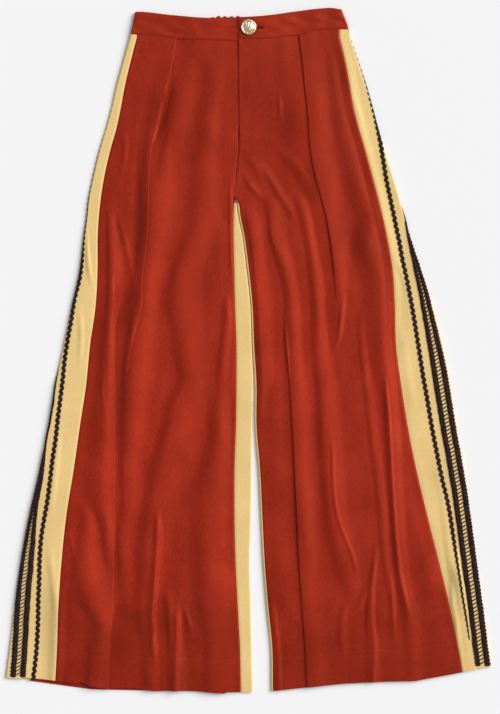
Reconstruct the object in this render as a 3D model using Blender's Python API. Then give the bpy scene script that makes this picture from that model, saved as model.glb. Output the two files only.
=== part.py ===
"""Wide-leg trousers laid flat on a surface, front up, built from the panels that are cut and sewn.

The wearer's right leg lies at -X and the left leg at +X. The waist is at +Y and the front faces +Z.
The underside lies flat at z = 0. Each panel is a thin closed wall that runs through sections across
the leg. The sections are worked out in millimetres and become metres when a mesh is made.
"""

import math

import bmesh
import bpy
import numpy as np

MM = 0.001
MERGE_DISTANCE = 0.000001

# Driving sizes, in millimetres.
TROUSER_LENGTH = 1055.0
CLOTH = 1.0
BAND_CLOTH = 2.2
GATHERED_CLOTH = 1.2
SEAM_GAP = 0.3
WAIST_GAP = 0.6
REST_LEVEL = CLOTH / 2
EDGE_LEVEL = 3.2
EDGE_LEVEL_AT_WAIST = 5.0
TOP_LEVEL = 4.2
TOP_LEVEL_AT_WAIST = 5.1
EDGE_RISE_WIDTH = 25.0
FOLD_RADIUS = 0.95
FOLD_SETTLE = 30.0
BAND_LEVEL = 5.4
BAND_UNDER_LEVEL = BAND_CLOTH / 2
BAND_UNDER_RUN = 12.0
BAND_OVERLAP_LIFT = BAND_CLOTH + SEAM_GAP
FLY_UNDER_DROP = 0.6
FLY_OVER_LIFT = 0.8
FLY_WAIST_LIFT = 2.3
GATHERS = 20
GATHER_HEIGHT = 2.2
SCALLOP_HEIGHT = 1.4
BUTTON_RADIUS = 11.9
SHANK_RADIUS = 1.2
BUTTONHOLE_LENGTH = 23.0
BUTTONHOLE_WIDTH = 3.0
RICKRACK_PITCH = 8.9
RICKRACK_SWING = 2.0
RICKRACK_RIBBON = 4.5
TRIM_THICKNESS = 1.0
RAIL_THICKNESS = 1.6
WEB_THICKNESS = 0.8
LADDER_HALF_WIDTH = 10.5
RAIL_INSIDE = 3.5
RAIL_STEP = 0.6
TRIM_START = 3.0
TRIM_LEAST_STEP = 0.3
RIBBON_LEAST_WIDTH = 0.8
FOLD_LEAST_DEPTH = 1.0
CUTTER_HEIGHT = 20.0
SHARP_ANGLE = math.radians(40)

# How finely the pieces are divided.
FOLD_ARC_POINTS = 3
EDGE_ARC_POINTS = 7
UNDER_POINTS = 3
TOP_POINTS = 5
BAND_TOP_POINTS = 17
BAND_ROWS = (0.0, 0.5, 1.0)
GATHER_POINTS = 4
BUTTON_STEPS = 28
SETTLING_ROUNDS = 3

# The photograph's frame: its pixels are turned to millimetres about the garment's middle.
LENGTH_IN_PIXELS = 685.0
PIXEL = TROUSER_LENGTH / LENGTH_IN_PIXELS
MIDDLE_ACROSS = 248.64
MIDDLE_DOWN = 350.57
WAIST_DOWN = 37.0
HEM_DOWN = 690.0
CROTCH_DOWN = 203.0
LEVEL_FROM_DOWN = 150.0
LEVEL_TO_DOWN = 470.0
FLY_END_DOWN = 127.0
FLY_FADE = 25.0
FLY_WAIST_DOWN = 42.0
FLY_WAIST_FADE = 35.0
WAIST_FADE = 70.0
CROTCH_FADE = 35.0
BAND_SIDE_DOWN = 12.0
BACK_BAND_LEFT_DOWN = 10.0
BAND_SIDE_RUN = 22.0
LADDER_FIRST_STEP = 5.0
UNDERLAP_END = 256.0
OVERLAP_FREE_END = 238.7
OVERLAP_LEVEL_END = 258.0
OVERLAP_SETTLED = 275.0
BUTTON_PLACE = (248.7, 27.9)
BUTTONHOLE_START = 247.6

OUTWARD = {"right": 1, "left": -1}
SECTION_COLUMNS = (
    "down outer_edge outer_seam flap pleat inner_seam inner_edge outer_under inner_under"
)
# One row for each section across a leg, in pixels: how far down it lies, the outer fold, the seam of
# the side panel on top, the long flap, the pleat, the front panel's inner edge, the inner fold, then
# the seams of the side panel and the inseam panel on the underside.
SECTIONS = {
    "right": [
        (37, 129.7, 137.0, 153.0, 177.0, 245.3, 245.3, 154.7, 237.0),
        (60, 123.5, 131.0, 150.0, 173.2, 245.3, 245.3, 150.5, 237.0),
        (85, 116.5, 125.0, 146.0, 168.0, 245.3, 245.3, 146.5, 237.0),
        (110, 111.0, 120.3, 141.0, 160.7, 244.8, 244.8, 143.0, 237.0),
        (127, 106.5, 116.7, 137.0, 156.0, 239.0, 239.0, 140.5, 237.0),
        (150, 99.5, 110.2, 131.0, 151.2, 238.4, 238.4, 135.5, 237.0),
        (175, 93.5, 104.5, 124.0, 149.6, 236.0, 236.0, 132.5, 237.0),
        (197, 89.1, 100.9, 117.5, 148.9, 234.3, 235.8, 130.6, 236.5),
        (203, 88.2, 100.2, 116.0, 148.9, 234.0, 236.3, 130.5, 234.1),
        (214, 87.2, 99.0, 114.0, 148.7, 233.5, 237.6, 130.7, 234.0),
        (235, 84.3, 97.7, 113.0, 148.2, 233.5, 242.0, 129.8, 234.0),
        (270, 80.0, 97.5, 113.0, 143.7, 234.3, 246.5, 125.5, 234.5),
        (305, 72.3, 95.6, 113.6, 140.7, 235.1, 250.2, 117.8, 235.7),
        (345, 63.5, 90.0, 114.7, 131.3, 236.5, 251.6, 109.0, 236.6),
        (385, 55.5, 86.0, 115.0, 128.0, 236.5, 252.9, 100.5, 236.9),
        (425, 48.8, 80.0, 115.0, 128.0, 236.0, 251.9, 91.3, 235.9),
        (470, 39.5, 73.5, 115.0, 129.0, 234.5, 251.3, 77.5, 235.3),
        (515, 29.5, 66.3, 114.7, 138.0, 234.5, 250.8, 63.0, 234.8),
        (560, 21.5, 61.5, 114.4, 149.0, 235.5, 249.5, 52.5, 235.5),
        (605, 15.0, 58.5, 113.2, 154.0, 237.7, 250.5, 43.0, 236.5),
        (650, 9.3, 57.0, 109.5, 157.5, 240.0, 251.5, 34.8, 237.5),
        (690, 4.2, 54.8, 108.0, 158.0, 240.8, 252.5, 29.2, 238.5),
    ],
    "left": [
        (37, 350.0, 339.5, 262.0, 299.0, 238.9, 238.9, 328.0, 237.4),
        (60, 357.5, 345.0, 262.0, 302.0, 239.0, 239.0, 330.0, 237.4),
        (85, 366.0, 349.7, 262.0, 304.5, 239.2, 239.2, 336.0, 237.4),
        (110, 373.0, 354.0, 262.0, 307.3, 239.4, 239.4, 341.0, 237.4),
        (127, 377.6, 358.5, 262.0, 308.4, 239.5, 239.5, 345.0, 237.4),
        (150, 384.5, 365.2, 262.0, 310.3, 238.8, 238.8, 351.0, 237.4),
        (175, 392.4, 372.0, 263.0, 314.8, 236.4, 236.4, 358.5, 237.4),
        (197, 398.8, 377.8, 265.0, 321.0, 234.7, 236.6, 364.8, 237.6),
        (203, 400.4, 379.3, 266.0, 322.5, 238.7, 237.1, 366.6, 240.1),
        (214, 403.7, 382.0, 268.0, 325.5, 240.2, 238.6, 370.0, 246.6),
        (235, 409.3, 386.6, 272.0, 329.5, 244.3, 242.7, 376.3, 255.7),
        (270, 421.0, 392.6, 279.5, 334.0, 248.9, 247.3, 392.5, 267.3),
        (305, 432.3, 394.8, 284.5, 337.0, 252.5, 250.9, 407.0, 275.9),
        (345, 442.5, 396.0, 286.6, 340.0, 254.1, 252.5, 413.7, 280.5),
        (385, 450.3, 401.2, 290.0, 344.0, 256.5, 254.9, 419.8, 283.9),
        (425, 456.3, 407.5, 292.5, 349.0, 256.5, 254.9, 425.3, 283.9),
        (470, 464.0, 416.5, 294.8, 354.0, 260.1, 258.5, 433.5, 287.5),
        (515, 470.5, 427.2, 297.0, 358.0, 262.3, 260.7, 442.5, 289.7),
        (560, 476.5, 438.5, 299.0, 362.0, 264.6, 263.0, 449.5, 292.0),
        (605, 483.0, 449.5, 302.0, 366.0, 268.1, 266.5, 456.0, 295.5),
        (650, 489.0, 458.7, 305.3, 368.0, 272.4, 270.8, 462.0, 299.8),
        (690, 495.0, 466.0, 307.0, 370.0, 272.9, 271.3, 468.0, 300.3),
    ],
}

# How a fold turns over on its way down: the flap's depth in millimetres, and how far the cloth turns
# back, in degrees. A fold that turns 180 degrees lies in three layers, and one that turns 0 is flat.
FOLD_COLUMNS = "down depth turn"
FOLDS = {
    "right": {
        "flap": [(270, 1, 0), (305, 1, 60), (345, 2, 140), (385, 3, 180), (690, 3, 180)],
        "pleat": [
            (37, 13, 180),
            (110, 12, 180),
            (175, 9, 180),
            (235, 4, 180),
            (270, 1, 150),
            (305, 1, 60),
            (345, 1, 0),
        ],
    },
    "left": {
        "flap": [(305, 1, 0), (345, 1, 90), (385, 3, 180), (690, 3, 180)],
        "pleat": [
            (37, 13, 180),
            (110, 12, 180),
            (175, 9, 180),
            (214, 4, 180),
            (235, 1, 150),
            (270, 1, 60),
            (305, 1, 0),
        ],
    },
}
# The folds of each front from the side seam inwards, with the columns of points before each.
FOLD_ORDER = {"right": [("flap", 4), ("pleat", 4)], "left": [("pleat", 5), ("flap", 4)]}
INNER_COLUMNS = {"right": 9, "left": 4}
BACK_COLUMNS = 6

# The broad ridges of each front panel, down the leg: across and down in pixels, height in millimetres.
RIDGE_COLUMNS = "across down height"
RIDGE_HALF_WIDTH = 16.0
RIDGES = {
    "right": [
        [(180, 170, 0), (172, 210, 3), (159, 273, 4), (151, 313, 5), (147, 366, 4), (140, 420, 4)]
        + [(129, 470, 2), (136, 515, 0)],
        [(223, 177, 0), (208, 222, 3), (187, 260, 4), (184, 310, 3), (196, 375, 4), (180, 444, 4)]
        + [(166, 515, 3), (160, 560, 3), (156, 610, 4), (158, 690, 5)],
        [(231, 270, 0), (231, 298, 2), (223, 370, 2), (220, 410, 0)],
        [(172, 590, 0), (180, 625, 3), (182, 650, 4), (181, 692, 4)],
        [(84, 528, 0), (96, 576, 2), (88, 640, 3), (84, 690, 3)],
        [(214, 560, 0), (212, 610, 2), (210, 692, 3)],
    ],
    "left": [
        [(251, 200, 0), (260, 221, 3), (264, 286, 4), (265, 340, 4), (262, 392, 2), (262, 430, 0)],
        [(274, 224, 0), (290, 265, 3), (297, 314, 3), (299, 380, 3), (302, 480, 3), (321, 605, 0)],
        [(309, 211, 0), (318, 255, 2), (324, 329, 3), (330, 400, 4), (340, 505, 4), (362, 590, 0)],
        [(362, 330, 0), (372, 405, 3), (380, 480, 3), (387, 547, 3), (381, 590, 0)],
        [(395, 330, 0), (396, 430, 2), (402, 550, 3), (414, 622, 4), (418, 682, 5)],
        [(379, 550, 0), (374, 605, 3), (377, 645, 4), (375, 684, 4)],
        [(334, 590, 0), (337, 640, 2), (338, 688, 3)],
        [(273, 141, 0), (290, 157, 2), (304, 176, 2), (312, 200, 0)],
    ],
}

# Edges across the photograph, in pixels: the band's two edges and the hems.
EDGE_COLUMNS = "across down"
BAND_TOP = {
    "right": [(130, 12.6), (135, 12.2), (171, 15.3), (202, 17.9), (264, 17.0)],
    "left": [(230, 17.4), (247, 17.4), (273, 15.2), (295, 11.9), (322, 8.7), (341, 9.6), (352, 10)],
}
BAND_BOTTOM = {
    "right": [(124, 33.8), (153, 35.7), (177, 38.7), (202, 39.8), (233, 40.8), (264, 40.8)],
    "left": [(230, 37.0), (257, 39), (284, 36.9), (299.4, 34.7), (322, 30.4), (354, 29.2)],
}
FRONT_HEM = {
    "right": [(0, 677.5), (20, 679), (55, 680.5), (81, 683), (108, 688.5), (154, 691), (253, 692.3)],
    "left": [(260, 692.5), (307, 687.5), (340, 684), (416, 680.9), (463, 672.2), (498, 665.8)],
}
BACK_HEM = {
    "right": [(0, 677.5), (20, 679.8), (65, 686), (92, 689.7), (154, 691), (253, 692.3)],
    "left": FRONT_HEM["left"],
}
# The band's outer edge at each hip.
SIDE_COLUMNS = "down across"
BAND_SIDE = {"right": [(10.0, 135.4), (36.0, 130.2)], "left": [(8.0, 340.4), (31.0, 348.4)]}
# The back panels meet the back band along one straight line on each side of the middle.
BACK_WAIST = {"right": [(120, 33.8), (237.2, 40.6)], "left": [(237.2, 40.6), (358, 28.8)]}
BACK_BAND_TOP = [(130, 14.0), (171, 16.2), (213, 16.6), (245, 16.4), (295, 13.6), (352, 11.5)]

EDGES = {"front": (BAND_BOTTOM, FRONT_HEM), "back": (BACK_WAIST, BACK_HEM)}

# The trims: how far down, and how far in from the outer fold their middle lies, in millimetres.
TRIM_COLUMNS = "down inwards"
LADDERS = {
    "right": [(420, -8), (440, -7), (480, -1.5), (500, 1.8), (540, 4), (580, 9), (620, 14)]
    + [(660, 18), (700, 20)],
    "left": [(222, -8.4), (240, -7.5), (260, -3), (280, 2.5), (300, 8.5), (320, 12), (360, 14.5)]
    + [(440, 13.5), (540, 12), (620, 15), (700, 16.4)],
}
RICKRACKS = {
    "right": [(256, 1.5), (280, 3), (300, 2.5), (340, 5.8), (380, 10.8), (420, 13.4), (460, 17.7)]
    + [(500, 23.9), (540, 26), (580, 33), (620, 39.6), (660, 44), (700, 44)],
    "left": [(127, 1.5), (160, 7.7), (180, 12.3), (220, 17), (240, 18.5), (280, 27)]
    + [(340, 37.7), (380, 40.8), (440, 38.5), (500, 33), (600, 31), (640, 31), (700, 32)],
}

# The button's outline, from the foot of its shank on the under band to the middle of its face, in
# millimetres. Foot heights are above the button's seat, and face heights above the upper band.
BUTTON_COLUMNS = "radius above"
BUTTON_FOOT = [(0.0, 0.0), (SHANK_RADIUS, 0.0)]
BUTTON_FACE = [(SHANK_RADIUS, 0.0), (9.0, 0.0), (11.2, 0.5), (BUTTON_RADIUS, 1.5), (11.3, 2.5)]
BUTTON_FACE += [(10.2, 2.9), (9.2, 2.5), (6.0, 3.4), (3.0, 3.9), (0.0, 4.0)]

# Colour, roughness and metallic value of each material.
MATERIAL_COLUMNS = "colour roughness metallic"
MATERIALS = {
    "rust_cloth": ((0.315, 0.022, 0.011), 0.55, 0.0),
    "yellow_cloth": ((0.807, 0.578, 0.242), 0.7, 0.0),
    "braid": ((0.038, 0.017, 0.017), 0.85, 0.0),
    "gilt": ((0.83, 0.70, 0.45), 0.25, 1.0),
}


def clear_scene():
    for item in list(bpy.data.objects):
        bpy.data.objects.remove(item, do_unlink=True)


def table(names, rows):
    return dict(zip(names.split(), np.array(rows, float).T))


def read_off(names, rows, at):
    """The value of a two-column table's second column at some place in its first."""
    first, second = table(names, rows).values()
    return np.interp(at, first, second)


def smooth(t):
    t = np.clip(t, 0.0, 1.0)
    return t * t * (3 - 2 * t)


def across_mm(pixels):
    return (np.asarray(pixels, float) - MIDDLE_ACROSS) * PIXEL


def down_mm(pixels):
    return (MIDDLE_DOWN - np.asarray(pixels, float)) * PIXEL


def material_for(node, kind):
    look = dict(zip(MATERIAL_COLUMNS.split(), MATERIALS[kind]))
    material = bpy.data.materials.new(node)
    material.use_nodes = True
    shader = material.node_tree.nodes["Principled BSDF"]
    shader.inputs["Base Color"].default_value = (*look["colour"], 1.0)
    shader.inputs["Roughness"].default_value = look["roughness"]
    shader.inputs["Metallic"].default_value = look["metallic"]
    return material


def add_piece(name, bm, kind):
    mesh = bpy.data.meshes.new(name)
    bm.to_mesh(mesh)
    bm.free()
    mesh.materials.append(material_for(name, kind))
    mesh.shade_smooth()
    mesh.set_sharp_from_angle(angle=SHARP_ANGLE)
    piece = bpy.data.objects.new(name, mesh)
    bpy.context.collection.objects.link(piece)
    return piece


def add_wall(name, inside, outside, kind):
    """A closed wall between two grids of points, rows by columns by three, in millimetres."""
    rows, columns = inside.shape[:2]
    bm = bmesh.new()
    bmesh.ops.create_grid(bm, x_segments=columns - 1, y_segments=rows - 1, size=1.0)
    place = bm.verts.layers.int.new("place")
    for index, vertex in enumerate(bm.verts):
        vertex[place] = index
    made = bmesh.ops.extrude_face_region(bm, geom=bm.faces[:])["geom"]
    lifted = {item for item in made if isinstance(item, bmesh.types.BMVert)}
    inside_points = inside.reshape(-1, 3) * MM
    outside_points = outside.reshape(-1, 3) * MM
    for vertex in bm.verts:
        points = outside_points if vertex in lifted else inside_points
        vertex.co = points[vertex[place]]
    bmesh.ops.recalc_face_normals(bm, faces=bm.faces[:])
    return add_piece(name, bm, kind)


def section_normals(points):
    """Unit normals of each section's path, square to the path and in the plane of X and Z."""
    path = points[:, :, [0, 2]]
    before = np.diff(path, axis=1, prepend=2 * path[:, :1] - path[:, 1:2])
    after = np.diff(path, axis=1, append=2 * path[:, -1:] - path[:, -2:-1])
    before /= np.linalg.norm(before, axis=2, keepdims=True)
    after /= np.linalg.norm(after, axis=2, keepdims=True)
    way = before + after
    way /= np.linalg.norm(way, axis=2, keepdims=True)
    normals = np.zeros(points.shape)
    normals[:, :, 0] = -way[:, :, 1]
    normals[:, :, 2] = way[:, :, 0]
    return normals


def add_cloth(name, points, thickness, kind):
    half = section_normals(points) * thickness / 2
    return add_wall(name, points - half, points + half, kind)


def at_level(leg, column, down):
    sections = table(SECTION_COLUMNS, SECTIONS[leg])
    return np.interp(down, sections["down"], sections[column])


def row_down(leg, layer, across, level):
    """Where a row of points lies, in pixels: level in mid leg, and along the waist and the hem."""
    to_waist = 1 - smooth((level - WAIST_DOWN) / (LEVEL_FROM_DOWN - WAIST_DOWN))
    to_hem = smooth((level - LEVEL_TO_DOWN) / (HEM_DOWN - LEVEL_TO_DOWN))
    gap = WAIST_GAP / PIXEL
    waist, hem = EDGES[layer]
    to_band = read_off(EDGE_COLUMNS, waist[leg], across) + gap - WAIST_DOWN
    to_end = read_off(EDGE_COLUMNS, hem[leg], across) - HEM_DOWN
    return level + to_band * to_waist + to_end * to_hem


def settle(leg, layer, level, across_at, count):
    """Across and down of a row whose places across depend on how far down each one lies."""
    down = np.full(count, float(level))
    for _ in range(SETTLING_ROUNDS):
        across = across_at(down)
        down = row_down(leg, layer, across, level)
    return across, down


def edge_level(down):
    """Height of the middle of the top layer at the leg's folded edges."""
    at_waist = 1 - smooth((down - WAIST_DOWN) / WAIST_FADE)
    return EDGE_LEVEL + (EDGE_LEVEL_AT_WAIST - EDGE_LEVEL) * at_waist


def front_level(leg, across, down):
    """Height of the middle of a front panel before its folds: its soft ridges on a low crown."""
    at_waist = 1 - smooth((down - WAIST_DOWN) / WAIST_FADE)
    crown = TOP_LEVEL + (TOP_LEVEL_AT_WAIST - TOP_LEVEL) * at_waist
    from_side = abs(across - at_level(leg, "outer_seam", down)) * PIXEL
    from_inner = abs(across - at_level(leg, "inner_seam", down)) * PIXEL
    above_crotch = 1 - smooth((down - CROTCH_DOWN) / CROTCH_FADE)
    inner_rise = np.maximum(smooth(from_inner / EDGE_RISE_WIDTH), above_crotch)
    rise = smooth(from_side / EDGE_RISE_WIDTH) * inner_rise
    low = edge_level(down)
    height = low + (crown - low) * rise
    for ridge in RIDGES[leg]:
        line = table(RIDGE_COLUMNS, ridge)
        middle = np.interp(down, line["down"], line["across"])
        top = np.interp(down, line["down"], line["height"], left=0, right=0)
        off = np.clip(abs(across - middle) * PIXEL / RIDGE_HALF_WIDTH, 0, 1)
        height = height + top * rise * (1 + np.cos(math.pi * off)) / 2
    return height


def fly_shift(leg, across, down):
    """At the fly the left front lies on the right front, and both part a little in height."""
    above = 1 - smooth((down - FLY_END_DOWN) / FLY_FADE)
    if leg == "right":
        near = 1 - smooth((OVERLAP_FREE_END - across) * PIXEL / FOLD_SETTLE)
        return -FLY_UNDER_DROP * near * above
    near = 1 - smooth((across - OVERLAP_LEVEL_END) * PIXEL / FOLD_SETTLE)
    at_waist = 1 - smooth((down - FLY_WAIST_DOWN) / FLY_WAIST_FADE)
    return (FLY_OVER_LIFT + (FLY_WAIST_LIFT - FLY_OVER_LIFT) * at_waist) * near * above


def fold_path(depth, turn):
    """Points across a fold, from the flap down to the cloth under it: along and up."""
    full = math.radians(turn)
    arc = (np.arange(FOLD_ARC_POINTS) + 0.5) / FOLD_ARC_POINTS * full
    angles = np.concatenate([arc, [full], arc[::-1]])
    arc_steps = [math.pi * FOLD_RADIUS / FOLD_ARC_POINTS] * FOLD_ARC_POINTS
    steps = np.array(arc_steps + [max(depth, FOLD_LEAST_DEPTH)] + arc_steps)
    along = np.concatenate([[0.0], np.cumsum(steps * np.cos(angles))])
    up = -np.concatenate([[0.0], np.cumsum(steps * np.sin(angles))])
    lowest = max(up[-1] / 2, -2 * FOLD_RADIUS)
    return along - (along[1] + along[2]) / 2, up - up[-1] + lowest


def front_row(leg, level):
    """One section of a front panel, from the side seam to the inner edge."""
    way = OUTWARD[leg]
    half_gap = SEAM_GAP / 2 / PIXEL * way
    # Each column lies at a share of the way between two lines, each moved over by some pixels.
    columns = [("outer_seam", half_gap, "outer_seam", half_gap, 0.0)]
    folds = []
    for name, count in FOLD_ORDER[leg]:
        fold = table(FOLD_COLUMNS, FOLDS[leg][name])
        depth = np.interp(level, fold["down"], fold["depth"])
        turn = np.interp(level, fold["down"], fold["turn"])
        along, up = fold_path(depth, turn)
        steps = along / PIXEL * way
        start, moved = columns[-1][2:4]
        for share in np.arange(1, count) / count:
            columns.append((start, moved, name, steps[0], share))
        folds.append((name, depth, up, len(columns)))
        columns += [(name, step, name, step, 0.0) for step in steps]
    count = INNER_COLUMNS[leg]
    start, moved = columns[-1][2:4]
    for share in np.arange(1, count + 1) / count:
        columns.append((start, moved, "inner_seam", -half_gap, share))

    def across_at(down):
        found = []
        for (first, first_moved, last, last_moved, share), here in zip(columns, down):
            low = at_level(leg, first, here) + first_moved
            high = at_level(leg, last, here) + last_moved
            found.append(low + (high - low) * share)
        return np.array(found)

    across, down = settle(leg, "front", level, across_at, len(columns))
    height = front_level(leg, across, down) + fly_shift(leg, across, down)
    for name, depth, up, place in folds:
        edge = at_level(leg, name, down)
        past = (across - edge) * PIXEL * way
        before = np.arange(len(across)) < place
        after = np.arange(len(across)) >= place + len(up)
        high_fade = 1 - smooth((-past - depth - FOLD_RADIUS) / FOLD_SETTLE)
        low_fade = 1 - smooth(past / FOLD_SETTLE)
        height[before] += (up[0] * high_fade)[before]
        height[after] += (up[-1] * low_fade)[after]
        height[place : place + len(up)] += up
    return np.stack([across_mm(across), down_mm(down), height], axis=1)


def back_row(leg, level):
    """One section of a back panel, flat on the surface, from the side seam to the inner edge."""
    half_gap = SEAM_GAP / 2 / PIXEL * OUTWARD[leg]
    shares = np.linspace(0, 1, BACK_COLUMNS)

    def across_at(down):
        outer = at_level(leg, "outer_under", down) + half_gap
        inner = at_level(leg, "inner_under", down) - half_gap
        return outer + (inner - outer) * shares

    across, down = settle(leg, "back", level, across_at, BACK_COLUMNS)
    return np.stack([across_mm(across), down_mm(down), np.full(BACK_COLUMNS, REST_LEVEL)], axis=1)


def wrap_row(edge, inwards, under, top, low, high, thickness):
    """Across and up of a section that folds round an edge: along the underside, round, then on top.

    The edge is the outermost point of the outer face. Under and top are the two seams, and inwards
    is +1 or -1, the way from the edge to the rest of the leg.
    """
    radius = (high - low) / 2
    centre = edge + inwards * (radius + thickness / 2)
    turn = np.radians(np.linspace(-90, -270, EDGE_ARC_POINTS))
    arc_across = centre + inwards * radius * np.cos(turn)
    arc_up = low + radius + radius * np.sin(turn)
    under_across = np.linspace(under, centre, UNDER_POINTS)[:-1]
    top_across = np.linspace(centre, top, TOP_POINTS)[1:]
    across = np.concatenate([under_across, arc_across, top_across])
    up = np.concatenate([np.full(UNDER_POINTS - 1, low), arc_up, np.full(TOP_POINTS - 1, high)])
    return across, up


def seam_place(leg, layer, column, level):
    """How far across a seam or an edge lies in a row, in millimetres."""
    across, _ = settle(leg, layer, level, lambda down: at_level(leg, column, down), 1)
    return across_mm(across[0])


def folded_panel_row(leg, level, edge, under, top, inwards):
    """One section of a side panel or an inseam panel, which folds round an edge of the leg."""
    half_gap = inwards * SEAM_GAP / 2
    edge_place = seam_place(leg, "front", edge, level)
    under_place = seam_place(leg, "back", under, level) - half_gap
    top_place = seam_place(leg, "front", top, level) - half_gap
    high = edge_level(level)
    across, up = wrap_row(edge_place, inwards, under_place, top_place, REST_LEVEL, high, CLOTH)
    pixels = across / PIXEL + MIDDLE_ACROSS
    down = row_down(leg, "front", pixels, level)
    on_underside = slice(0, UNDER_POINTS - 1)
    down[on_underside] = row_down(leg, "back", pixels[on_underside], level)
    return np.stack([across, down_mm(down), up], axis=1)


def levels(leg):
    return table(SECTION_COLUMNS, SECTIONS[leg])["down"]


def side_panel_points(leg):
    way = OUTWARD[leg]
    rows = [
        folded_panel_row(leg, level, "outer_edge", "outer_under", "outer_seam", way)
        for level in levels(leg)
    ]
    return np.array(rows)


def inseam_panel_points(leg):
    way = -OUTWARD[leg]
    rows = [
        folded_panel_row(leg, level, "inner_edge", "inner_under", "inner_seam", way)
        for level in levels(leg)
        if level >= CROTCH_DOWN
    ]
    return np.array(rows)


def band_points(leg):
    """The front waistband: rows of points from the underside at the hip to its free end."""
    way = OUTWARD[leg]
    end = across_mm(UNDERLAP_END if leg == "right" else OVERLAP_FREE_END)
    rows = []
    for fraction in BAND_ROWS:
        middle = BAND_SIDE_DOWN + BAND_SIDE_RUN * fraction
        edge = across_mm(read_off(SIDE_COLUMNS, BAND_SIDE[leg], middle))
        under = edge + way * (BAND_UNDER_RUN + BAND_CLOTH)
        across, up = wrap_row(edge, way, under, end, BAND_UNDER_LEVEL, BAND_LEVEL, BAND_CLOTH)
        folded = len(across) - (TOP_POINTS - 1)
        on_top = np.linspace(across[folded - 1], end, BAND_TOP_POINTS)[1:]
        across = np.concatenate([across[:folded], on_top])
        up = np.concatenate([up[:folded], np.full(len(on_top), BAND_LEVEL)])
        pixels = across / PIXEL + MIDDLE_ACROSS
        if leg == "left":
            span = OVERLAP_SETTLED - OVERLAP_LEVEL_END
            up = up + BAND_OVERLAP_LIFT * smooth((OVERLAP_SETTLED - pixels) / span)
        top = read_off(EDGE_COLUMNS, BAND_TOP[leg], pixels)
        bottom = read_off(EDGE_COLUMNS, BAND_BOTTOM[leg], pixels)
        rows.append(np.stack([across, down_mm(top + (bottom - top) * fraction), up], axis=1))
    return np.array(rows)


def back_band_points():
    """The elasticated back waistband, drawn up in small gathers with a scalloped top edge."""
    phase = np.linspace(0, GATHERS, GATHER_POINTS * GATHERS + 1)
    wave = (1 - np.cos(2 * math.pi * phase)) / 2
    clear = (BAND_UNDER_RUN + BAND_CLOTH + SEAM_GAP) / PIXEL
    rows = []
    for fraction in BAND_ROWS:
        run = BAND_SIDE_RUN * fraction
        right = read_off(SIDE_COLUMNS, BAND_SIDE["right"], BAND_SIDE_DOWN + run) + clear
        left = read_off(SIDE_COLUMNS, BAND_SIDE["left"], BACK_BAND_LEFT_DOWN + run) - clear
        pixels = right + (left - right) * phase / GATHERS
        top = read_off(EDGE_COLUMNS, BACK_BAND_TOP, pixels) - wave * SCALLOP_HEIGHT / PIXEL
        bottom = read_off(EDGE_COLUMNS, BACK_WAIST["right"] + BACK_WAIST["left"], pixels)
        up = GATHERED_CLOTH / 2 + GATHER_HEIGHT * wave * (1 - fraction / 2)
        down = top + (bottom - top) * fraction
        rows.append(np.stack([across_mm(pixels), down_mm(down), up], axis=1))
    return np.array(rows)


class Surface:
    """The outer face of a side panel, on which the trims are laid from its own points."""

    def __init__(self, leg):
        points = side_panel_points(leg)
        self.levels = levels(leg)
        self.normals = section_normals(points) * OUTWARD[leg]
        points = points + self.normals * CLOTH / 2
        # The outermost point of the fold is the middle one of its arc.
        outermost = UNDER_POINTS - 1 + EDGE_ARC_POINTS // 2
        self.points = points[:, outermost:]
        self.normals = self.normals[:, outermost:]

    def row(self, index, inwards):
        points = self.points[index]
        run = np.concatenate([[0], np.cumsum(np.linalg.norm(np.diff(points, axis=0), axis=1))])
        point = [np.interp(inwards, run, points[:, axis]) for axis in range(3)]
        normal = [np.interp(inwards, run, self.normals[index][:, axis]) for axis in range(3)]
        return np.array(point), np.array(normal)

    def at(self, down, inwards):
        place = np.interp(down, self.levels, np.arange(len(self.levels)))
        index = min(int(place), len(self.levels) - 2)
        first, first_normal = self.row(index, inwards)
        last, last_normal = self.row(index + 1, inwards)
        share = place - index
        normal = first_normal + (last_normal - first_normal) * share
        return first + (last - first) * share, normal / np.linalg.norm(normal)


def add_trim(name, surface, rows, thicknesses):
    """A trim on the side panel: each row gives how far down it lies and its places inwards."""
    inside = np.zeros((len(rows), len(thicknesses), 3))
    outside = np.zeros(inside.shape)
    for i, (down, places) in enumerate(rows):
        for j, inwards in enumerate(places):
            point, normal = surface.at(down, inwards)
            inside[i, j] = point + normal * SEAM_GAP
            outside[i, j] = inside[i, j] + normal * thicknesses[j]
    return add_wall(name, inside, outside, "braid")


def rickrack_rows(leg):
    line = RICKRACKS[leg]
    start, end = line[0][0], HEM_DOWN
    count = int(2 * (end - start) * PIXEL / RICKRACK_PITCH)
    rows = []
    for i in range(count + 1):
        down = start + (end - start) * i / count
        middle = read_off(TRIM_COLUMNS, line, down) + RICKRACK_SWING * (1 if i % 2 else -1)
        near = max(middle - RICKRACK_RIBBON / 2, TRIM_START)
        far = max(middle + RICKRACK_RIBBON / 2, near + RIBBON_LEAST_WIDTH)
        rows.append((down, (near, far)))
    return rows


def ladder_rows(leg):
    line = LADDERS[leg]
    start = line[0][0]
    sections = [start] + [level for level in levels(leg) if level > start + LADDER_FIRST_STEP]
    halves = [(first + last) / 2 for first, last in zip(sections, sections[1:])]
    rows = []
    for down in sorted(sections + halves):
        middle = read_off(TRIM_COLUMNS, line, down)
        offsets = (-LADDER_HALF_WIDTH, -RAIL_INSIDE, -RAIL_INSIDE + RAIL_STEP)
        places = [middle + offset for offset in offsets]
        places += [middle - offset for offset in reversed(offsets)]
        for i in range(len(places)):
            places[i] = max(places[i], TRIM_START + TRIM_LEAST_STEP * i)
        rows.append((down, places))
    return rows


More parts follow.
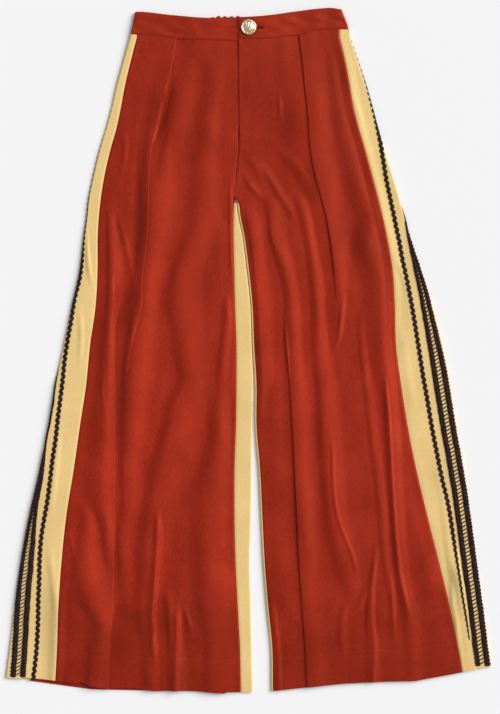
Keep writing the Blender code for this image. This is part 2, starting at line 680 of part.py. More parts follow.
def add_button():
    """A domed shank button: its shank stands on the under band and passes the buttonhole."""
    seat = BAND_LEVEL + BAND_CLOTH / 2 + SEAM_GAP
    face = BAND_LEVEL + BAND_OVERLAP_LIFT + BAND_CLOTH / 2 + SEAM_GAP
    foot, head = table(BUTTON_COLUMNS, BUTTON_FOOT), table(BUTTON_COLUMNS, BUTTON_FACE)
    radii = np.concatenate([foot["radius"], head["radius"]])
    heights = np.concatenate([foot["above"] + seat, head["above"] + face])
    place = np.array([across_mm(BUTTON_PLACE[0]), down_mm(BUTTON_PLACE[1]), 0.0]) * MM
    bm = bmesh.new()
    ring = [bm.verts.new((r * MM + place[0], place[1], up * MM)) for r, up in zip(radii, heights)]
    edges = [bm.edges.new(pair) for pair in zip(ring, ring[1:])]
    bmesh.ops.spin(
        bm,
        geom=ring + edges,
        cent=place,
        axis=(0, 0, 1),
        angle=2 * math.pi,
        steps=BUTTON_STEPS,
        use_merge=True,
    )
    bmesh.ops.remove_doubles(bm, verts=bm.verts[:], dist=MERGE_DISTANCE)
    bmesh.ops.recalc_face_normals(bm, faces=bm.faces[:])
    return add_piece("button", bm, "gilt")


def cut_buttonhole(band):
    """The slot in the left band that the button's shank passes through."""
    start = across_mm(BUTTONHOLE_START)
    bm = bmesh.new()
    bmesh.ops.create_cube(bm, size=1.0)
    size = np.array([BUTTONHOLE_LENGTH, BUTTONHOLE_WIDTH, CUTTER_HEIGHT]) * MM
    bmesh.ops.scale(bm, vec=size, verts=bm.verts[:])
    centre = np.array([start + BUTTONHOLE_LENGTH / 2, down_mm(BUTTON_PLACE[1]), BAND_LEVEL]) * MM
    bmesh.ops.translate(bm, vec=centre, verts=bm.verts[:])
    cutter = add_piece("buttonhole_cutter", bm, "rust_cloth")
    cutter.hide_render = True
    cutter.display_type = "WIRE"
    cut = band.modifiers.new("buttonhole", "BOOLEAN")
    cut.operation = "DIFFERENCE"
    cut.solver = "EXACT"
    cut.object = cutter


def build():
    clear_scene()
    for leg in ("right", "left"):
        front = np.array([front_row(leg, level) for level in levels(leg)])
        back = np.array([back_row(leg, level) for level in levels(leg)])
        add_cloth(f"front_panel_{leg}", front, CLOTH, "rust_cloth")
        add_cloth(f"back_panel_{leg}", back, CLOTH, "rust_cloth")
        add_cloth(f"side_panel_{leg}", side_panel_points(leg), CLOTH, "yellow_cloth")
        add_cloth(f"inseam_panel_{leg}", inseam_panel_points(leg), CLOTH, "yellow_cloth")
        band = add_cloth(f"waistband_front_{leg}", band_points(leg), BAND_CLOTH, "rust_cloth")
        surface = Surface(leg)
        add_trim(f"rickrack_{leg}", surface, rickrack_rows(leg), [TRIM_THICKNESS] * 2)
        rail, web = RAIL_THICKNESS, WEB_THICKNESS
        add_trim(f"ladder_braid_{leg}", surface, ladder_rows(leg), [rail, rail, web, web, rail, rail])
        if leg == "left":
            cut_buttonhole(band)
    add_cloth("waistband_back", back_band_points(), GATHERED_CLOTH, "rust_cloth")
    add_button()


build()
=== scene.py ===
"""Wide-leg trousers with pleated satin fronts and braided side panels, laid flat with the front up.

The wearer's right leg lies at -X and the left leg at +X. The waist is at +Y, and the front faces +Z.
"""

import math
import random

import bmesh
import bpy
import numpy as np
from mathutils import Matrix, Vector, noise


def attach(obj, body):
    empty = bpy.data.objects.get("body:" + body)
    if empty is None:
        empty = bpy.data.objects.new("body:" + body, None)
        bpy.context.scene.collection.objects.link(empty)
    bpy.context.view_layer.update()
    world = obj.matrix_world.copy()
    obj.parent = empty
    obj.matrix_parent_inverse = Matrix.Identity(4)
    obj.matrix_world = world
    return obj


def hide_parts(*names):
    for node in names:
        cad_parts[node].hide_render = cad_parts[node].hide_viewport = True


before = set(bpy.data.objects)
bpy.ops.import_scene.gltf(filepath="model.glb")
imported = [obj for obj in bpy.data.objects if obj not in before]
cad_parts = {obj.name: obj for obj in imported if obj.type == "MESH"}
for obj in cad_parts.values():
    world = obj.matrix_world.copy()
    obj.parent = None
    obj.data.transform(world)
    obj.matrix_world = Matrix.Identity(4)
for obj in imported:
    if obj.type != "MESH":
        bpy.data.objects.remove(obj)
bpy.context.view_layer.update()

MM = 0.001


# The white board that the trousers lie on, the soft lamp at their left hip, the pale room round it
# and the camera straight above. None of it belongs to the garment.
BOARD_SIDE = 9.0
BOARD_DROP = 0.4 * MM
BOARD_COLOUR = (0.845, 0.84, 0.845, 1.0)
ROOM_LIGHT = 0.42
LAMP_STRENGTH = 3.65
LAMP_ANGLE = math.radians(42)
LAMP_FROM = Vector((0.80, 0.42, 0.62))
CAMERA_PLACE = Vector((0.0021, -0.0099, 2.6005))
CAMERA_LENS = 85.0


def make_object(name, bm, material):
    """Turns a bmesh into an object of the scene, in one material."""
    mesh = bpy.data.meshes.new(name)
    bm.to_mesh(mesh)
    bm.free()
    mesh.materials.append(material)
    made = bpy.data.objects.new(name, mesh)
    bpy.context.collection.objects.link(made)
    return made


def new_paint(name, **values):
    """A material, its node tree and its shader, with the shader's own values set."""
    material = bpy.data.materials.new(name)
    material.use_nodes = True
    shader = material.node_tree.nodes["Principled BSDF"]
    for socket, value in values.items():
        shader.inputs[socket.replace("_", " ")].default_value = value
    return material, material.node_tree, shader


bm = bmesh.new()
bmesh.ops.create_grid(bm, x_segments=1, y_segments=1, size=BOARD_SIDE / 2)
bmesh.ops.translate(bm, vec=(0, 0, -BOARD_DROP), verts=bm.verts[:])
board_paint = new_paint("board", Base_Color=BOARD_COLOUR, Roughness=0.8)[0]
board = make_object("board", bm, board_paint)

room = bpy.data.worlds.new("room")
room.use_nodes = True
room.node_tree.nodes["Background"].inputs["Color"].default_value = (1.0, 1.0, 1.0, 1.0)
room.node_tree.nodes["Background"].inputs["Strength"].default_value = ROOM_LIGHT
bpy.context.scene.world = room
bpy.context.scene.view_settings.view_transform = "Standard"

lamp = bpy.data.objects.new("lamp", bpy.data.lights.new("lamp", "SUN"))
lamp.data.energy = LAMP_STRENGTH
lamp.data.angle = LAMP_ANGLE
lamp.rotation_euler = LAMP_FROM.to_track_quat("Z", "Y").to_euler()
bpy.context.collection.objects.link(lamp)

camera = bpy.data.objects.new("camera", bpy.data.cameras.new("camera"))
camera.location = CAMERA_PLACE
camera.data.lens = CAMERA_LENS
camera.data.sensor_width = 36.0
bpy.context.collection.objects.link(camera)
bpy.context.scene.camera = camera


# The two backs: rust satin, flat on the board and hidden but for a strip at the right hem. Their
# outer edge is sewn to the side panel, their inner edge to the inseam panel and to each other above.
PIXEL = 1.055 / 685
MIDDLE_ACROSS = 248.64
MIDDLE_DOWN = 350.57
WAIST_DOWN = 37.0
HEM_DOWN = 690.0
CROTCH_DOWN = 203.0
LEGS = ("right", "left")
WAY = {"right": 1, "left": -1}
# The leg's lines, in pixels of the photograph, at each place down.
LINES = "down outer_edge outer_seam flap pleat inner_seam inner_edge outer_under inner_under"
SECTIONS = {
    "right": [
        (37, 129.7, 137, 153, 177, 245.3, 245.3, 154.7, 237),
        (60, 123.5, 131, 150, 173.2, 245.3, 245.3, 150.5, 237),
        (85, 116.5, 125, 146, 168, 245.3, 245.3, 146.5, 237),
        (110, 111, 120.3, 141, 160.7, 244.8, 244.8, 143, 237),
        (127, 106.5, 116.7, 137, 156, 239, 239, 140.5, 237),
        (150, 99.5, 110.2, 131, 151.2, 238.4, 238.4, 135.5, 237),
        (175, 93.5, 104.5, 124, 149.6, 236, 236, 132.5, 237),
        (197, 89.1, 100.9, 117.5, 148.9, 234.3, 235.8, 130.6, 236.5),
        (203, 88.2, 100.2, 116, 148.9, 234, 236.3, 130.5, 234.1),
        (214, 87.2, 99, 114, 148.7, 233.5, 237.6, 130.7, 234),
        (235, 84.3, 97.7, 113, 148.2, 233.5, 242, 129.8, 234),
        (270, 80, 97.5, 113, 143.7, 234.3, 246.5, 125.5, 234.5),
        (305, 72.3, 95.6, 113.6, 140.7, 235.1, 250.2, 117.8, 235.7),
        (345, 63.5, 90, 114.7, 131.3, 236.5, 251.6, 109, 236.6),
        (385, 55.5, 86, 115, 128, 236.5, 252.9, 100.5, 236.9),
        (425, 48.8, 80, 115, 128, 236, 251.9, 91.3, 235.9),
        (470, 39.5, 73.5, 115, 129, 234.5, 251.3, 77.5, 235.3),
        (515, 29.5, 66.3, 114.7, 138, 234.5, 250.8, 63, 234.8),
        (560, 21.5, 61.5, 114.4, 149, 235.5, 249.5, 52.5, 235.5),
        (605, 15, 58.5, 113.2, 154, 237.7, 250.5, 43, 236.5),
        (650, 9.3, 57, 109.5, 157.5, 240, 251.5, 34.8, 237.5),
        (690, 4.2, 54.8, 108, 158, 240.8, 252.5, 29.2, 238.5),
    ],
    "left": [
        (37, 350, 339.5, 262, 299, 238.9, 238.9, 328, 237.4),
        (60, 357.5, 345, 262, 302, 239, 239, 330, 237.4),
        (85, 366, 349.7, 262, 304.5, 239.2, 239.2, 336, 237.4),
        (110, 373, 354, 262, 307.3, 239.4, 239.4, 341, 237.4),
        (127, 377.6, 358.5, 262, 308.4, 239.5, 239.5, 345, 237.4),
        (150, 384.5, 365.2, 262, 310.3, 238.8, 238.8, 351, 237.4),
        (175, 392.4, 372, 263, 314.8, 236.4, 236.4, 358.5, 237.4),
        (197, 398.8, 377.8, 265, 321, 234.7, 236.6, 364.8, 237.6),
        (203, 400.4, 379.3, 266, 322.5, 238.7, 237.1, 366.6, 240.1),
        (214, 403.7, 382, 268, 325.5, 240.2, 238.6, 370, 246.6),
        (235, 409.3, 386.6, 272, 329.5, 244.3, 242.7, 376.3, 255.7),
        (270, 421, 392.6, 279.5, 334, 248.9, 247.3, 392.5, 267.3),
        (305, 432.3, 394.8, 284.5, 337, 252.5, 250.9, 407, 275.9),
        (345, 442.5, 396, 286.6, 340, 254.1, 252.5, 413.7, 280.5),
        (385, 450.3, 401.2, 290, 344, 256.5, 254.9, 419.8, 283.9),
        (425, 456.3, 407.5, 292.5, 349, 256.5, 254.9, 425.3, 283.9),
        (470, 464, 416.5, 294.8, 354, 260.1, 258.5, 433.5, 287.5),
        (515, 470.5, 427.2, 297, 358, 262.3, 260.7, 442.5, 289.7),
        (560, 476.5, 438.5, 299, 362, 264.6, 263, 449.5, 292),
        (605, 483, 449.5, 302, 366, 268.1, 266.5, 456, 295.5),
        (650, 489, 458.7, 305.3, 368, 272.4, 270.8, 462, 299.8),
        (690, 495, 466, 307, 370, 272.9, 271.3, 468, 300.3),
    ],
}
# The edges that run across the photograph, as across and down.
BAND_BOTTOM = {
    "right": [(124, 33.8), (153, 35.7), (177, 38.7), (202, 39.8), (233, 40.8), (264, 40.8)],
    "left": [(230, 37), (257, 39), (284, 36.9), (299.4, 34.7), (322, 30.4), (354, 29.2)],
}
FRONT_HEM = {
    "right": [(0, 677.5), (20, 679), (24.6, 677.6), (55, 680.5), (75, 683.8), (81, 682.2), (92, 686.2),
     (108, 689.2), (116, 688), (130, 687.7), (154, 691), (190, 690.6), (210, 692.4), (224, 693.6),
     (227, 692.2), (253, 692.3)],
    "left": [(260, 692.5), (307, 687.5), (340, 684), (375, 682), (416, 680.9), (463, 672.2),
     (475, 669.3), (498, 665.8)],
}
BACK_WAIST = {"right": [(120, 33.8), (237.2, 40.6)], "left": [(237.2, 40.6), (358, 28.8)]}
BACK_HEM = {
    "right": [(0, 677.5), (20, 679.8), (65, 686), (92, 689.7), (154, 691), (253, 692.3)],
    "left": FRONT_HEM["left"],
}
EDGES = {"front": (BAND_BOTTOM, FRONT_HEM), "back": (BACK_WAIST, BACK_HEM)}
WAIST_GAP = 0.3 * MM / PIXEL
SEAM_GAP = 0.3 * MM
CLOTH = 0.7 * MM
REST_LEVEL = 0.5 * MM
BACK_COLUMNS = 48
ROWS = 240
BACK_CREASE = 0.8 * MM
# Between these places down, in pixels, a row runs level. Above and below, it follows the edges.
LEVEL_FROM = 150.0
LEVEL_TO = 470.0
# The cloth's streaks and clouds, and how much lighter or darker its colour is painted as highlight and
# shade.
STREAK_SCALE = (480.0, 210.0, 300.0)
CLOUD_SCALE = 14.0
PAINTED_LIGHT_DEPTH = 0.22
HEM_PAINTED_SHADE_DEPTH = 0.8
HEM_PAINTED_SHADE_BLUR = 12.0


def follow(line, at):
    """Reads a table of two columns along a smooth line through its points."""
    first, second = np.array(line, float).T
    at = np.clip(at, first[0], first[-1])
    place = np.clip(np.searchsorted(first, at) - 1, 0, len(first) - 2)
    step = first[place + 1] - first[place]
    t = (at - first[place]) / step
    if len(first) > 2:
        slope = np.gradient(second, first)
    else:
        slope = np.full(2, (second[1] - second[0]) / step.max())
    start, end = slope[place] * step, slope[place + 1] * step
    rise = second[place + 1] - second[place]
    return second[place] + t * (start + t * (3 * rise - 2 * start - end + t * (start + end - 2 * rise)))


def leg_line(leg, name, down):
    """Where one of the leg's lines lies across, in pixels, at some places down."""
    column = LINES.split().index(name)
    return follow([(row[0], row[column]) for row in SECTIONS[leg]], down)


def ease(t):
    """Runs from 0 to 1 with a soft start and end."""
    t = np.clip(t, 0.0, 1.0)
    return t * t * (3 - 2 * t)


def read_off(line, at):
    """Reads a table of two columns along straight lines."""
    first, second = np.array(line, float).T
    return np.interp(at, first, second)


def row_down(leg, layer, across, level):
    """Where a row lies: level in mid leg, along the waistband at the top, along the hem below."""
    waist, hem = EDGES[layer]
    to_waist = 1 - ease((level - WAIST_DOWN) / (LEVEL_FROM - WAIST_DOWN))
    to_hem = ease((level - LEVEL_TO) / (HEM_DOWN - LEVEL_TO))
    at_waist = follow(waist[leg], across) + WAIST_GAP - WAIST_DOWN
    at_hem = read_off(hem[leg], across) - HEM_DOWN
    return level + at_waist * to_waist + at_hem * to_hem


def metres(across, down, up):
    """Turns places in the photograph's pixels, with their height, to points in metres."""
    across, down, up = np.broadcast_arrays(across, down, up)
    return np.stack([(across - MIDDLE_ACROSS) * PIXEL, (MIDDLE_DOWN - down) * PIXEL, up], axis=-1)


def thicken(bm, thickness):
    """Gives an open sheet its two faces and its rim, with half the thickness to each side."""
    bm.normal_update()
    place = bm.verts.layers.int.new("place")
    halves = []
    for index, vertex in enumerate(bm.verts):
        vertex[place] = index
        halves.append(vertex.normal * thickness / 2)
    made = bmesh.ops.extrude_face_region(bm, geom=bm.faces[:])["geom"]
    lifted = {item for item in made if isinstance(item, bmesh.types.BMVert)}
    for vertex in bm.verts:
        half = halves[vertex[place]]
        vertex.co += half if vertex in lifted else -half
    bmesh.ops.recalc_face_normals(bm, faces=bm.faces[:])


def grid_of(points):
    """An open sheet on a grid of points, rows down the leg by columns across it."""
    rows, columns = points.shape[:2]
    bm = bmesh.new()
    bmesh.ops.create_grid(bm, x_segments=columns - 1, y_segments=rows - 1, size=1.0)
    for vertex, place in zip(bm.verts, points.reshape(-1, 3)):
        vertex.co = place
    return bm


def finish_piece(name, bm, material, sharp=50):
    """A piece of the trousers: smooth, but for edges sharper than an angle in degrees."""
    piece = make_object(name, bm, material)
    piece.data.shade_smooth()
    piece.data.set_sharp_from_angle(angle=math.radians(sharp))
    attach(piece, "root")
    return piece


def sheet_mesh(name, points, thickness, material):
    """A thin closed sheet of cloth on a grid of points."""
    bm = grid_of(points)
    thicken(bm, thickness)
    return finish_piece(name, bm, material)


def feed(tree, socket, value):
    """Sets a socket to a number or colour, or joins another node's output to it."""
    if isinstance(value, bpy.types.NodeSocket):
        tree.links.new(value, socket)
    else:
        socket.default_value = value


def add_node(tree, kind, **values):
    """A shader node. A name in small letters sets the node itself, and any other one a socket."""
    node = tree.nodes.new("ShaderNode" + kind)
    for name, value in values.items():
        if name.islower():
            setattr(node, name, value)
        else:
            feed(tree, node.inputs[name.replace("_", " ")], value)
    return node


def maths(tree, operation, *values):
    """One step of arithmetic on numbers and outputs."""
    node = add_node(tree, "Math", operation=operation)
    for socket, value in zip(node.inputs, values):
        feed(tree, socket, value)
    return node.outputs[0]


def two_tones(tree, factor, dark, light):
    """A colour that runs from dark to light. Each gives its place along the factor and its colour."""
    ramp = add_node(tree, "ValToRGB", Fac=factor)
    for stop, (place, colour) in zip(ramp.color_ramp.elements, (dark, light)):
        stop.position, stop.color = place, (*colour, 1.0)
    return ramp.outputs["Color"]


def weave_group():
    """Woven cloth: raised threads on a slant, and a streaky tone from one thread to the next."""
    weave = bpy.data.node_groups.new("weave", "ShaderNodeTree")
    for name, kind in (("Vector", "Vector"), ("Threads", "Float"), ("Slant", "Float")):
        weave.interface.new_socket(name, in_out="INPUT", socket_type="NodeSocket" + kind)
    for name in ("Height", "Tone"):
        weave.interface.new_socket(name, in_out="OUTPUT", socket_type="NodeSocketFloat")
    given = weave.nodes.new("NodeGroupInput").outputs
    result = weave.nodes.new("NodeGroupOutput").inputs
    split = add_node(weave, "SeparateXYZ", Vector=given["Vector"]).outputs
    ribs = maths(weave, "ADD", split["X"], maths(weave, "MULTIPLY", split["Y"], given["Slant"]))
    waves = [
        maths(weave, "SINE", maths(weave, "MULTIPLY", along, given["Threads"]))
        for along in (ribs, split["Y"])
    ]
    feed(weave, result["Height"], maths(weave, "ADD", waves[0], maths(weave, "MULTIPLY", waves[1], 0.5)))
    long_way = add_node(weave, "Mapping", Vector=given["Vector"], Scale=STREAK_SCALE)
    streaks = add_node(weave, "TexNoise", Vector=long_way.outputs[0], Scale=1.0, Detail=3.0)
    cloud = add_node(weave, "TexNoise", Vector=given["Vector"], Scale=CLOUD_SCALE, Detail=4.0)
    both = maths(weave, "ADD", streaks.outputs["Fac"], cloud.outputs["Fac"])
    feed(weave, result["Tone"], maths(weave, "MULTIPLY", both, 0.5))
    return weave


def cloth_material(name, dark, light, threads, slant, thread_height, roughness, gloss, tint):
    """Cloth: two tones, the width, slant and height of its threads, and how it shines."""
    tint = (*tint, 1.0)
    material, tree, shader = new_paint(
        name, Specular_IOR_Level=gloss, Specular_Tint=tint, Sheen_Weight=0.06, Sheen_Roughness=0.4,
        Sheen_Tint=tint,
    )
    weave = add_node(
        tree, "Group", node_tree=bpy.data.node_groups.get("weave") or weave_group(),
        Vector=add_node(tree, "TexCoord").outputs["Object"], Threads=2 * math.pi / threads, Slant=slant,
    ).outputs
    tone = two_tones(tree, weave["Tone"], (0.4, dark), (0.6, light))
    # The painted_light attribute lightens or darkens the colour: painted highlight above zero, painted shade
    # below.
    painted_light = add_node(tree, "Attribute", attribute_name="painted_light").outputs["Fac"]
    painted_light_scale = maths(tree, "MULTIPLY_ADD", painted_light, PAINTED_LIGHT_DEPTH, 1.0)
    shaded = add_node(tree, "VectorMath", operation="SCALE", Vector=tone, Scale=painted_light_scale)
    feed(tree, shader.inputs["Base Color"], shaded.outputs[0])
    finish = add_node(
        tree, "MapRange", Value=weave["Tone"], To_Min=roughness - 0.05, To_Max=roughness + 0.05,
    )
    feed(tree, shader.inputs["Roughness"], finish.outputs["Result"])
    raised = add_node(tree, "Bump", Strength=0.5, Distance=thread_height, Height=weave["Height"])
    feed(tree, shader.inputs["Normal"], raised.outputs["Normal"])
    return material


def paint_light_and_shade(piece, zones, hem_line=None):
    """Paints light and shade into the colour: lighter or darker round patches, and painted shade below an
    uneven line at the hem.
    """
    places = np.array([vertex.co for vertex in piece.data.vertices])
    across = places[:, 0] / PIXEL + MIDDLE_ACROSS
    down = MIDDLE_DOWN - places[:, 1] / PIXEL
    painted_light = np.zeros(len(places))
    for middle, low, wide, long, strength in zones:
        painted_light += strength * (1 - ease(np.hypot((across - middle) / wide, (down - low) / long)))
    if hem_line:
        painted_light -= HEM_PAINTED_SHADE_DEPTH * ease((down - follow(hem_line, across)) / HEM_PAINTED_SHADE_BLUR + 0.5)
    layer = piece.data.attributes.new("painted_light", "FLOAT", "POINT")
    layer.data.foreach_set("value", painted_light.astype(np.float32))


rust_satin = cloth_material(
    "rust_satin", (0.216, 0.0138, 0.0062), (0.300, 0.0202, 0.0094), 0.9 * MM, 0.6, 0.06 * MM, 0.42, 1.0,
    (1.0, 0.13, 0.05),
)

for leg in LEGS:
    level = np.linspace(WAIST_DOWN, HEM_DOWN, ROWS)[:, None]
    share = np.linspace(0, 1, BACK_COLUMNS)[None, :]
    half_gap = SEAM_GAP / 2 / PIXEL * WAY[leg]
    down = np.repeat(level, BACK_COLUMNS, axis=1)
    for _ in range(3):
        outer = leg_line(leg, "outer_under", down) + half_gap
        inner = leg_line(leg, "inner_under", down) - half_gap
        across = outer + (inner - outer) * share
        down = row_down(leg, "back", across, level)
    # Long soft creases that lift off the board a little, and lie down at the seams and the ends.
    drift = 2.2 * np.sin(level / 90 + WAY[leg])
    lift = np.clip(np.sin(share * 17 + drift) + 0.4 * np.sin(share * 31 - level / 60), 0, 2) / 1.4
    along = math.pi * (level - WAIST_DOWN) / (HEM_DOWN - WAIST_DOWN)
    inside = np.sqrt(np.clip(np.sin(math.pi * share) * np.sin(along), 0, 1))
    up = REST_LEVEL + BACK_CREASE * lift * inside
    back = sheet_mesh(f"back_{leg}", metres(across, down, up), CLOTH, rust_satin)
    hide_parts(f"back_panel_{leg}")


# The side panels: plain yellow cloth that wraps round the outer fold from the back to the front.
# On the left leg a small tuck has fallen over towards the braid, from below the knee to the hem.
EDGE_LEVEL = 3.2 * MM
EDGE_LEVEL_AT_WAIST = 5.0 * MM
SEAM_ROLL = 0.7 * MM
SEAM_ROLL_WIDTH = 2.6 * MM
FOLD_RADIUS = 0.46 * MM
UNDER_COLUMNS = 10
ARC_COLUMNS = 11
# The lift of the seam between side panel and front, as down and millimetres.
SEAM_LIFT = {
    "right": [(0, 0), (560, 0), (610, 2.2), (650, 2.4), (700, 2)],
    "left": [(37, 0.4), (75, 1.9), (140, 2.2), (220, 2.4), (290, 1.8), (340, 1), (400, 0.3),
     (700, 0.3)],
}
SEAM_LIFT_WIDTH = 15 * MM
SEAM_FADE = 6 * MM
SIDE_UNEVEN = 0.35 * MM
FRONT_UNEVEN = 0.4 * MM
# How far from the tuck the cloth settles again, towards the fold and towards the seam.
TUCK_SETTLE = (7 * MM, 9 * MM)
# The tuck of the left side panel: its edge and depth at each place down, and how far it turns over.
TUCK = "down across depth turn"
TUCK_ROWS = [(37, 345, 1, 0), (150, 375.5, 1, 0), (300, 414, 1, 0), (450, 441, 1, 0), (545, 456, 1, 0),
             (570, 459.5, 2, 60), (599, 464.6, 5, 150), (635, 469, 8, 180), (690, 476, 9, 180)]
# Soft creases: which face the line follows, height, width to the left and to the right in
# millimetres, then the line itself as across and down in pixels.
SIDE_CREASES = {
    "right": [
        ("right", 1.6, 6, 5, [(86, 205), (88, 240), (91, 270), (95, 292)]),
        ("left", 1.2, 7, 6, [(76, 300), (79, 330), (77, 370)]),
        ("left", 1.4, 9, 9, [(46, 540), (50, 580), (54, 620)]),
        ("right", 1.2, 8, 7, [(62, 420), (58, 470), (52, 520)]),
    ],
    "left": [
        ("left", 1.4, 6, 8, [(392, 250), (400, 275), (408, 300)]),
        ("right", 1.2, 8, 8, [(404, 320), (410, 370), (418, 420)]),
        ("left", 1.5, 6, 7, [(431, 450), (441, 500), (447, 560), (452, 610), (462, 690)]),
        ("right", 1, 7, 6, [(353, 90), (360, 110), (366, 130)]),
    ],
}
# Painted shade: where the panels are painted greyer, as the place across and down, the reach each way and
# how much.
SIDE_PAINTED_SHADE = {
    "right": [(50, 630, 14, 80, -1)],
    "left": [(404, 310, 14, 70, -0.5), (451, 592, 3.5, 42, -1.3), (455, 630, 3.5, 36, -1.3),
     (460, 662, 3, 26, -0.9)],
}
# In pixels: how far down the waist's greater height fades out, and a crease's length of fade at each
# end. One that starts above or ends below these two places runs on into the waist or the hem.
WAIST_FADE = 70.0
CREASE_FADE = 28.0
CREASES_START = 45
CREASES_END = 680


def edge_level(down):
    """Height of the cloth's middle at the leg's folded edges."""
    at_waist = 1 - ease((down - WAIST_DOWN) / WAIST_FADE)
    return EDGE_LEVEL + (EDGE_LEVEL_AT_WAIST - EDGE_LEVEL) * at_waist


def creases(rows, across, down):
    """Height added by soft creases. Each fades out at its ends, unless it runs into the waist or hem."""
    height = np.zeros(across.shape)
    for face, top, left, right, line in rows:
        places = np.array(line, float)
        first, last = places[0, 1], places[-1, 1]
        middle = follow(places[:, ::-1], down)
        slope = follow(places[:, ::-1], down + 1) - follow(places[:, ::-1], down - 1)
        shift = {"right": -right / 2, "left": left / 2, "top": 0.0}[face]
        off = (across - middle) * (PIXEL / MM) / np.sqrt(1 + (slope / 2) ** 2) - shift
        reach = np.clip(off / np.where(off < 0, -left, right), 0, 1)
        fade = min(CREASE_FADE, (last - first) / 2)
        strength = np.ones(across.shape)
        if first > CREASES_START:
            strength = strength * ease((down - first) / fade)
        if last < CREASES_END:
            strength = strength * ease((last - down) / fade)
        height += top * MM * strength * (1 + np.cos(math.pi * reach)) / 2
    return height


def unevenness(across, down, size, height):
    """A soft hand-laid unevenness, the same each time."""
    places = zip((across / size).ravel(), (down / size / 2.5).ravel())
    values = [noise.noise(Vector((a, d, size))) for a, d in places]
    return height * np.array(values).reshape(across.shape)


def side_level(leg, across, down):
    """Height of the middle of a side panel's upper layer."""
    from_seam = (leg_line(leg, "outer_seam", down) - across) * PIXEL * WAY[leg]
    from_edge = (across - leg_line(leg, "outer_edge", down)) * PIXEL * WAY[leg]
    inside = ease((from_edge - 1.5 * MM) / (8 * MM))
    lift = read_off(SEAM_LIFT[leg], down) * MM * (1 - ease(from_seam / SEAM_LIFT_WIDTH))
    soft = creases(SIDE_CREASES[leg], across, down) * (0.3 + 0.7 * ease(from_seam / (5 * MM)))
    return edge_level(down) + (lift + soft) * inside


def seam_roll(distance):
    """The seam allowances under it pull each edge down into a narrow groove."""
    return -SEAM_ROLL * (1 - ease(distance / SEAM_ROLL_WIDTH))


def fold_path(depth, turn):
    """Points across a fold, from the flap down to the cloth under it: along and up."""
    full = np.radians(turn)[:, None]
    arc = np.arange(1, 10, 2) / 10 * full
    angles = np.hstack([arc, full, full, arc[:, ::-1]])
    arc_steps = np.full(arc.shape, math.pi * FOLD_RADIUS / 5)
    middle = np.repeat(np.maximum(depth, 1 * MM)[:, None] / 2, 2, axis=1)
    steps = np.hstack([arc_steps, middle, arc_steps])
    start = np.zeros(full.shape)
    along = np.hstack([start, np.cumsum(steps * np.cos(angles), axis=1)])
    up = -np.hstack([start, np.cumsum(steps * np.sin(angles), axis=1)])
    lowest = np.maximum(up[:, -1:] / 2, -2 * FOLD_RADIUS)
    edge = along[:, 2:4].mean(axis=1, keepdims=True)
    return along - edge, up - up[:, -1:] + lowest


def wrap_columns(leg, level, edge, under, inwards, high):
    """Across and up of the underside and the rounded fold, in pixels and metres."""
    radius = (high - REST_LEVEL) / 2
    centre = edge + inwards * (radius + CLOTH / 2) / PIXEL
    turn = np.radians(np.linspace(-90, -270, ARC_COLUMNS))[None, :]
    arc_across = centre + inwards * radius * np.cos(turn) / PIXEL
    arc_up = REST_LEVEL + radius + radius * np.sin(turn)
    share = np.linspace(0, 1, UNDER_COLUMNS)[None, :-1]
    under_across = under + (centre - under) * share
    across = np.hstack([under_across, arc_across])
    up = np.hstack([np.full(under_across.shape, REST_LEVEL), arc_up])
    down = row_down(leg, "front", across, level)
    under_down = row_down(leg, "back", across, level)
    back_share = np.clip(1 - np.arange(across.shape[1]) / UNDER_COLUMNS, 0, 1)[None, :]
    return across, down + (under_down - down) * back_share, up, centre


def seam_places(leg, way, level, side):
    """Across, in pixels, of a panel's fold and its two seams, underneath and on top."""
    found = []
    for layer, name in (("front", "_edge"), ("back", "_under"), ("front", "_seam")):
        down = level.copy()
        for _ in range(3):
            across = leg_line(leg, side + name, down)
            down = row_down(leg, layer, across, level)
        found.append(across)
    half_gap = SEAM_GAP / 2 / PIXEL * way
    return found[0], found[1] - half_gap, found[2] - half_gap


def join_layers(under, top):
    """Points of a panel that runs from underneath, round its fold, to its upper layer."""
    return metres(*(np.hstack(pair) for pair in zip(under, top)))


yellow_cotton = cloth_material(
    "yellow_cotton", (0.71, 0.49, 0.195), (0.78, 0.555, 0.235), 0.8 * MM, 0.0, 0.05 * MM, 0.62, 0.2,
    (1.0, 0.85, 0.6),
)
side_panels = {}

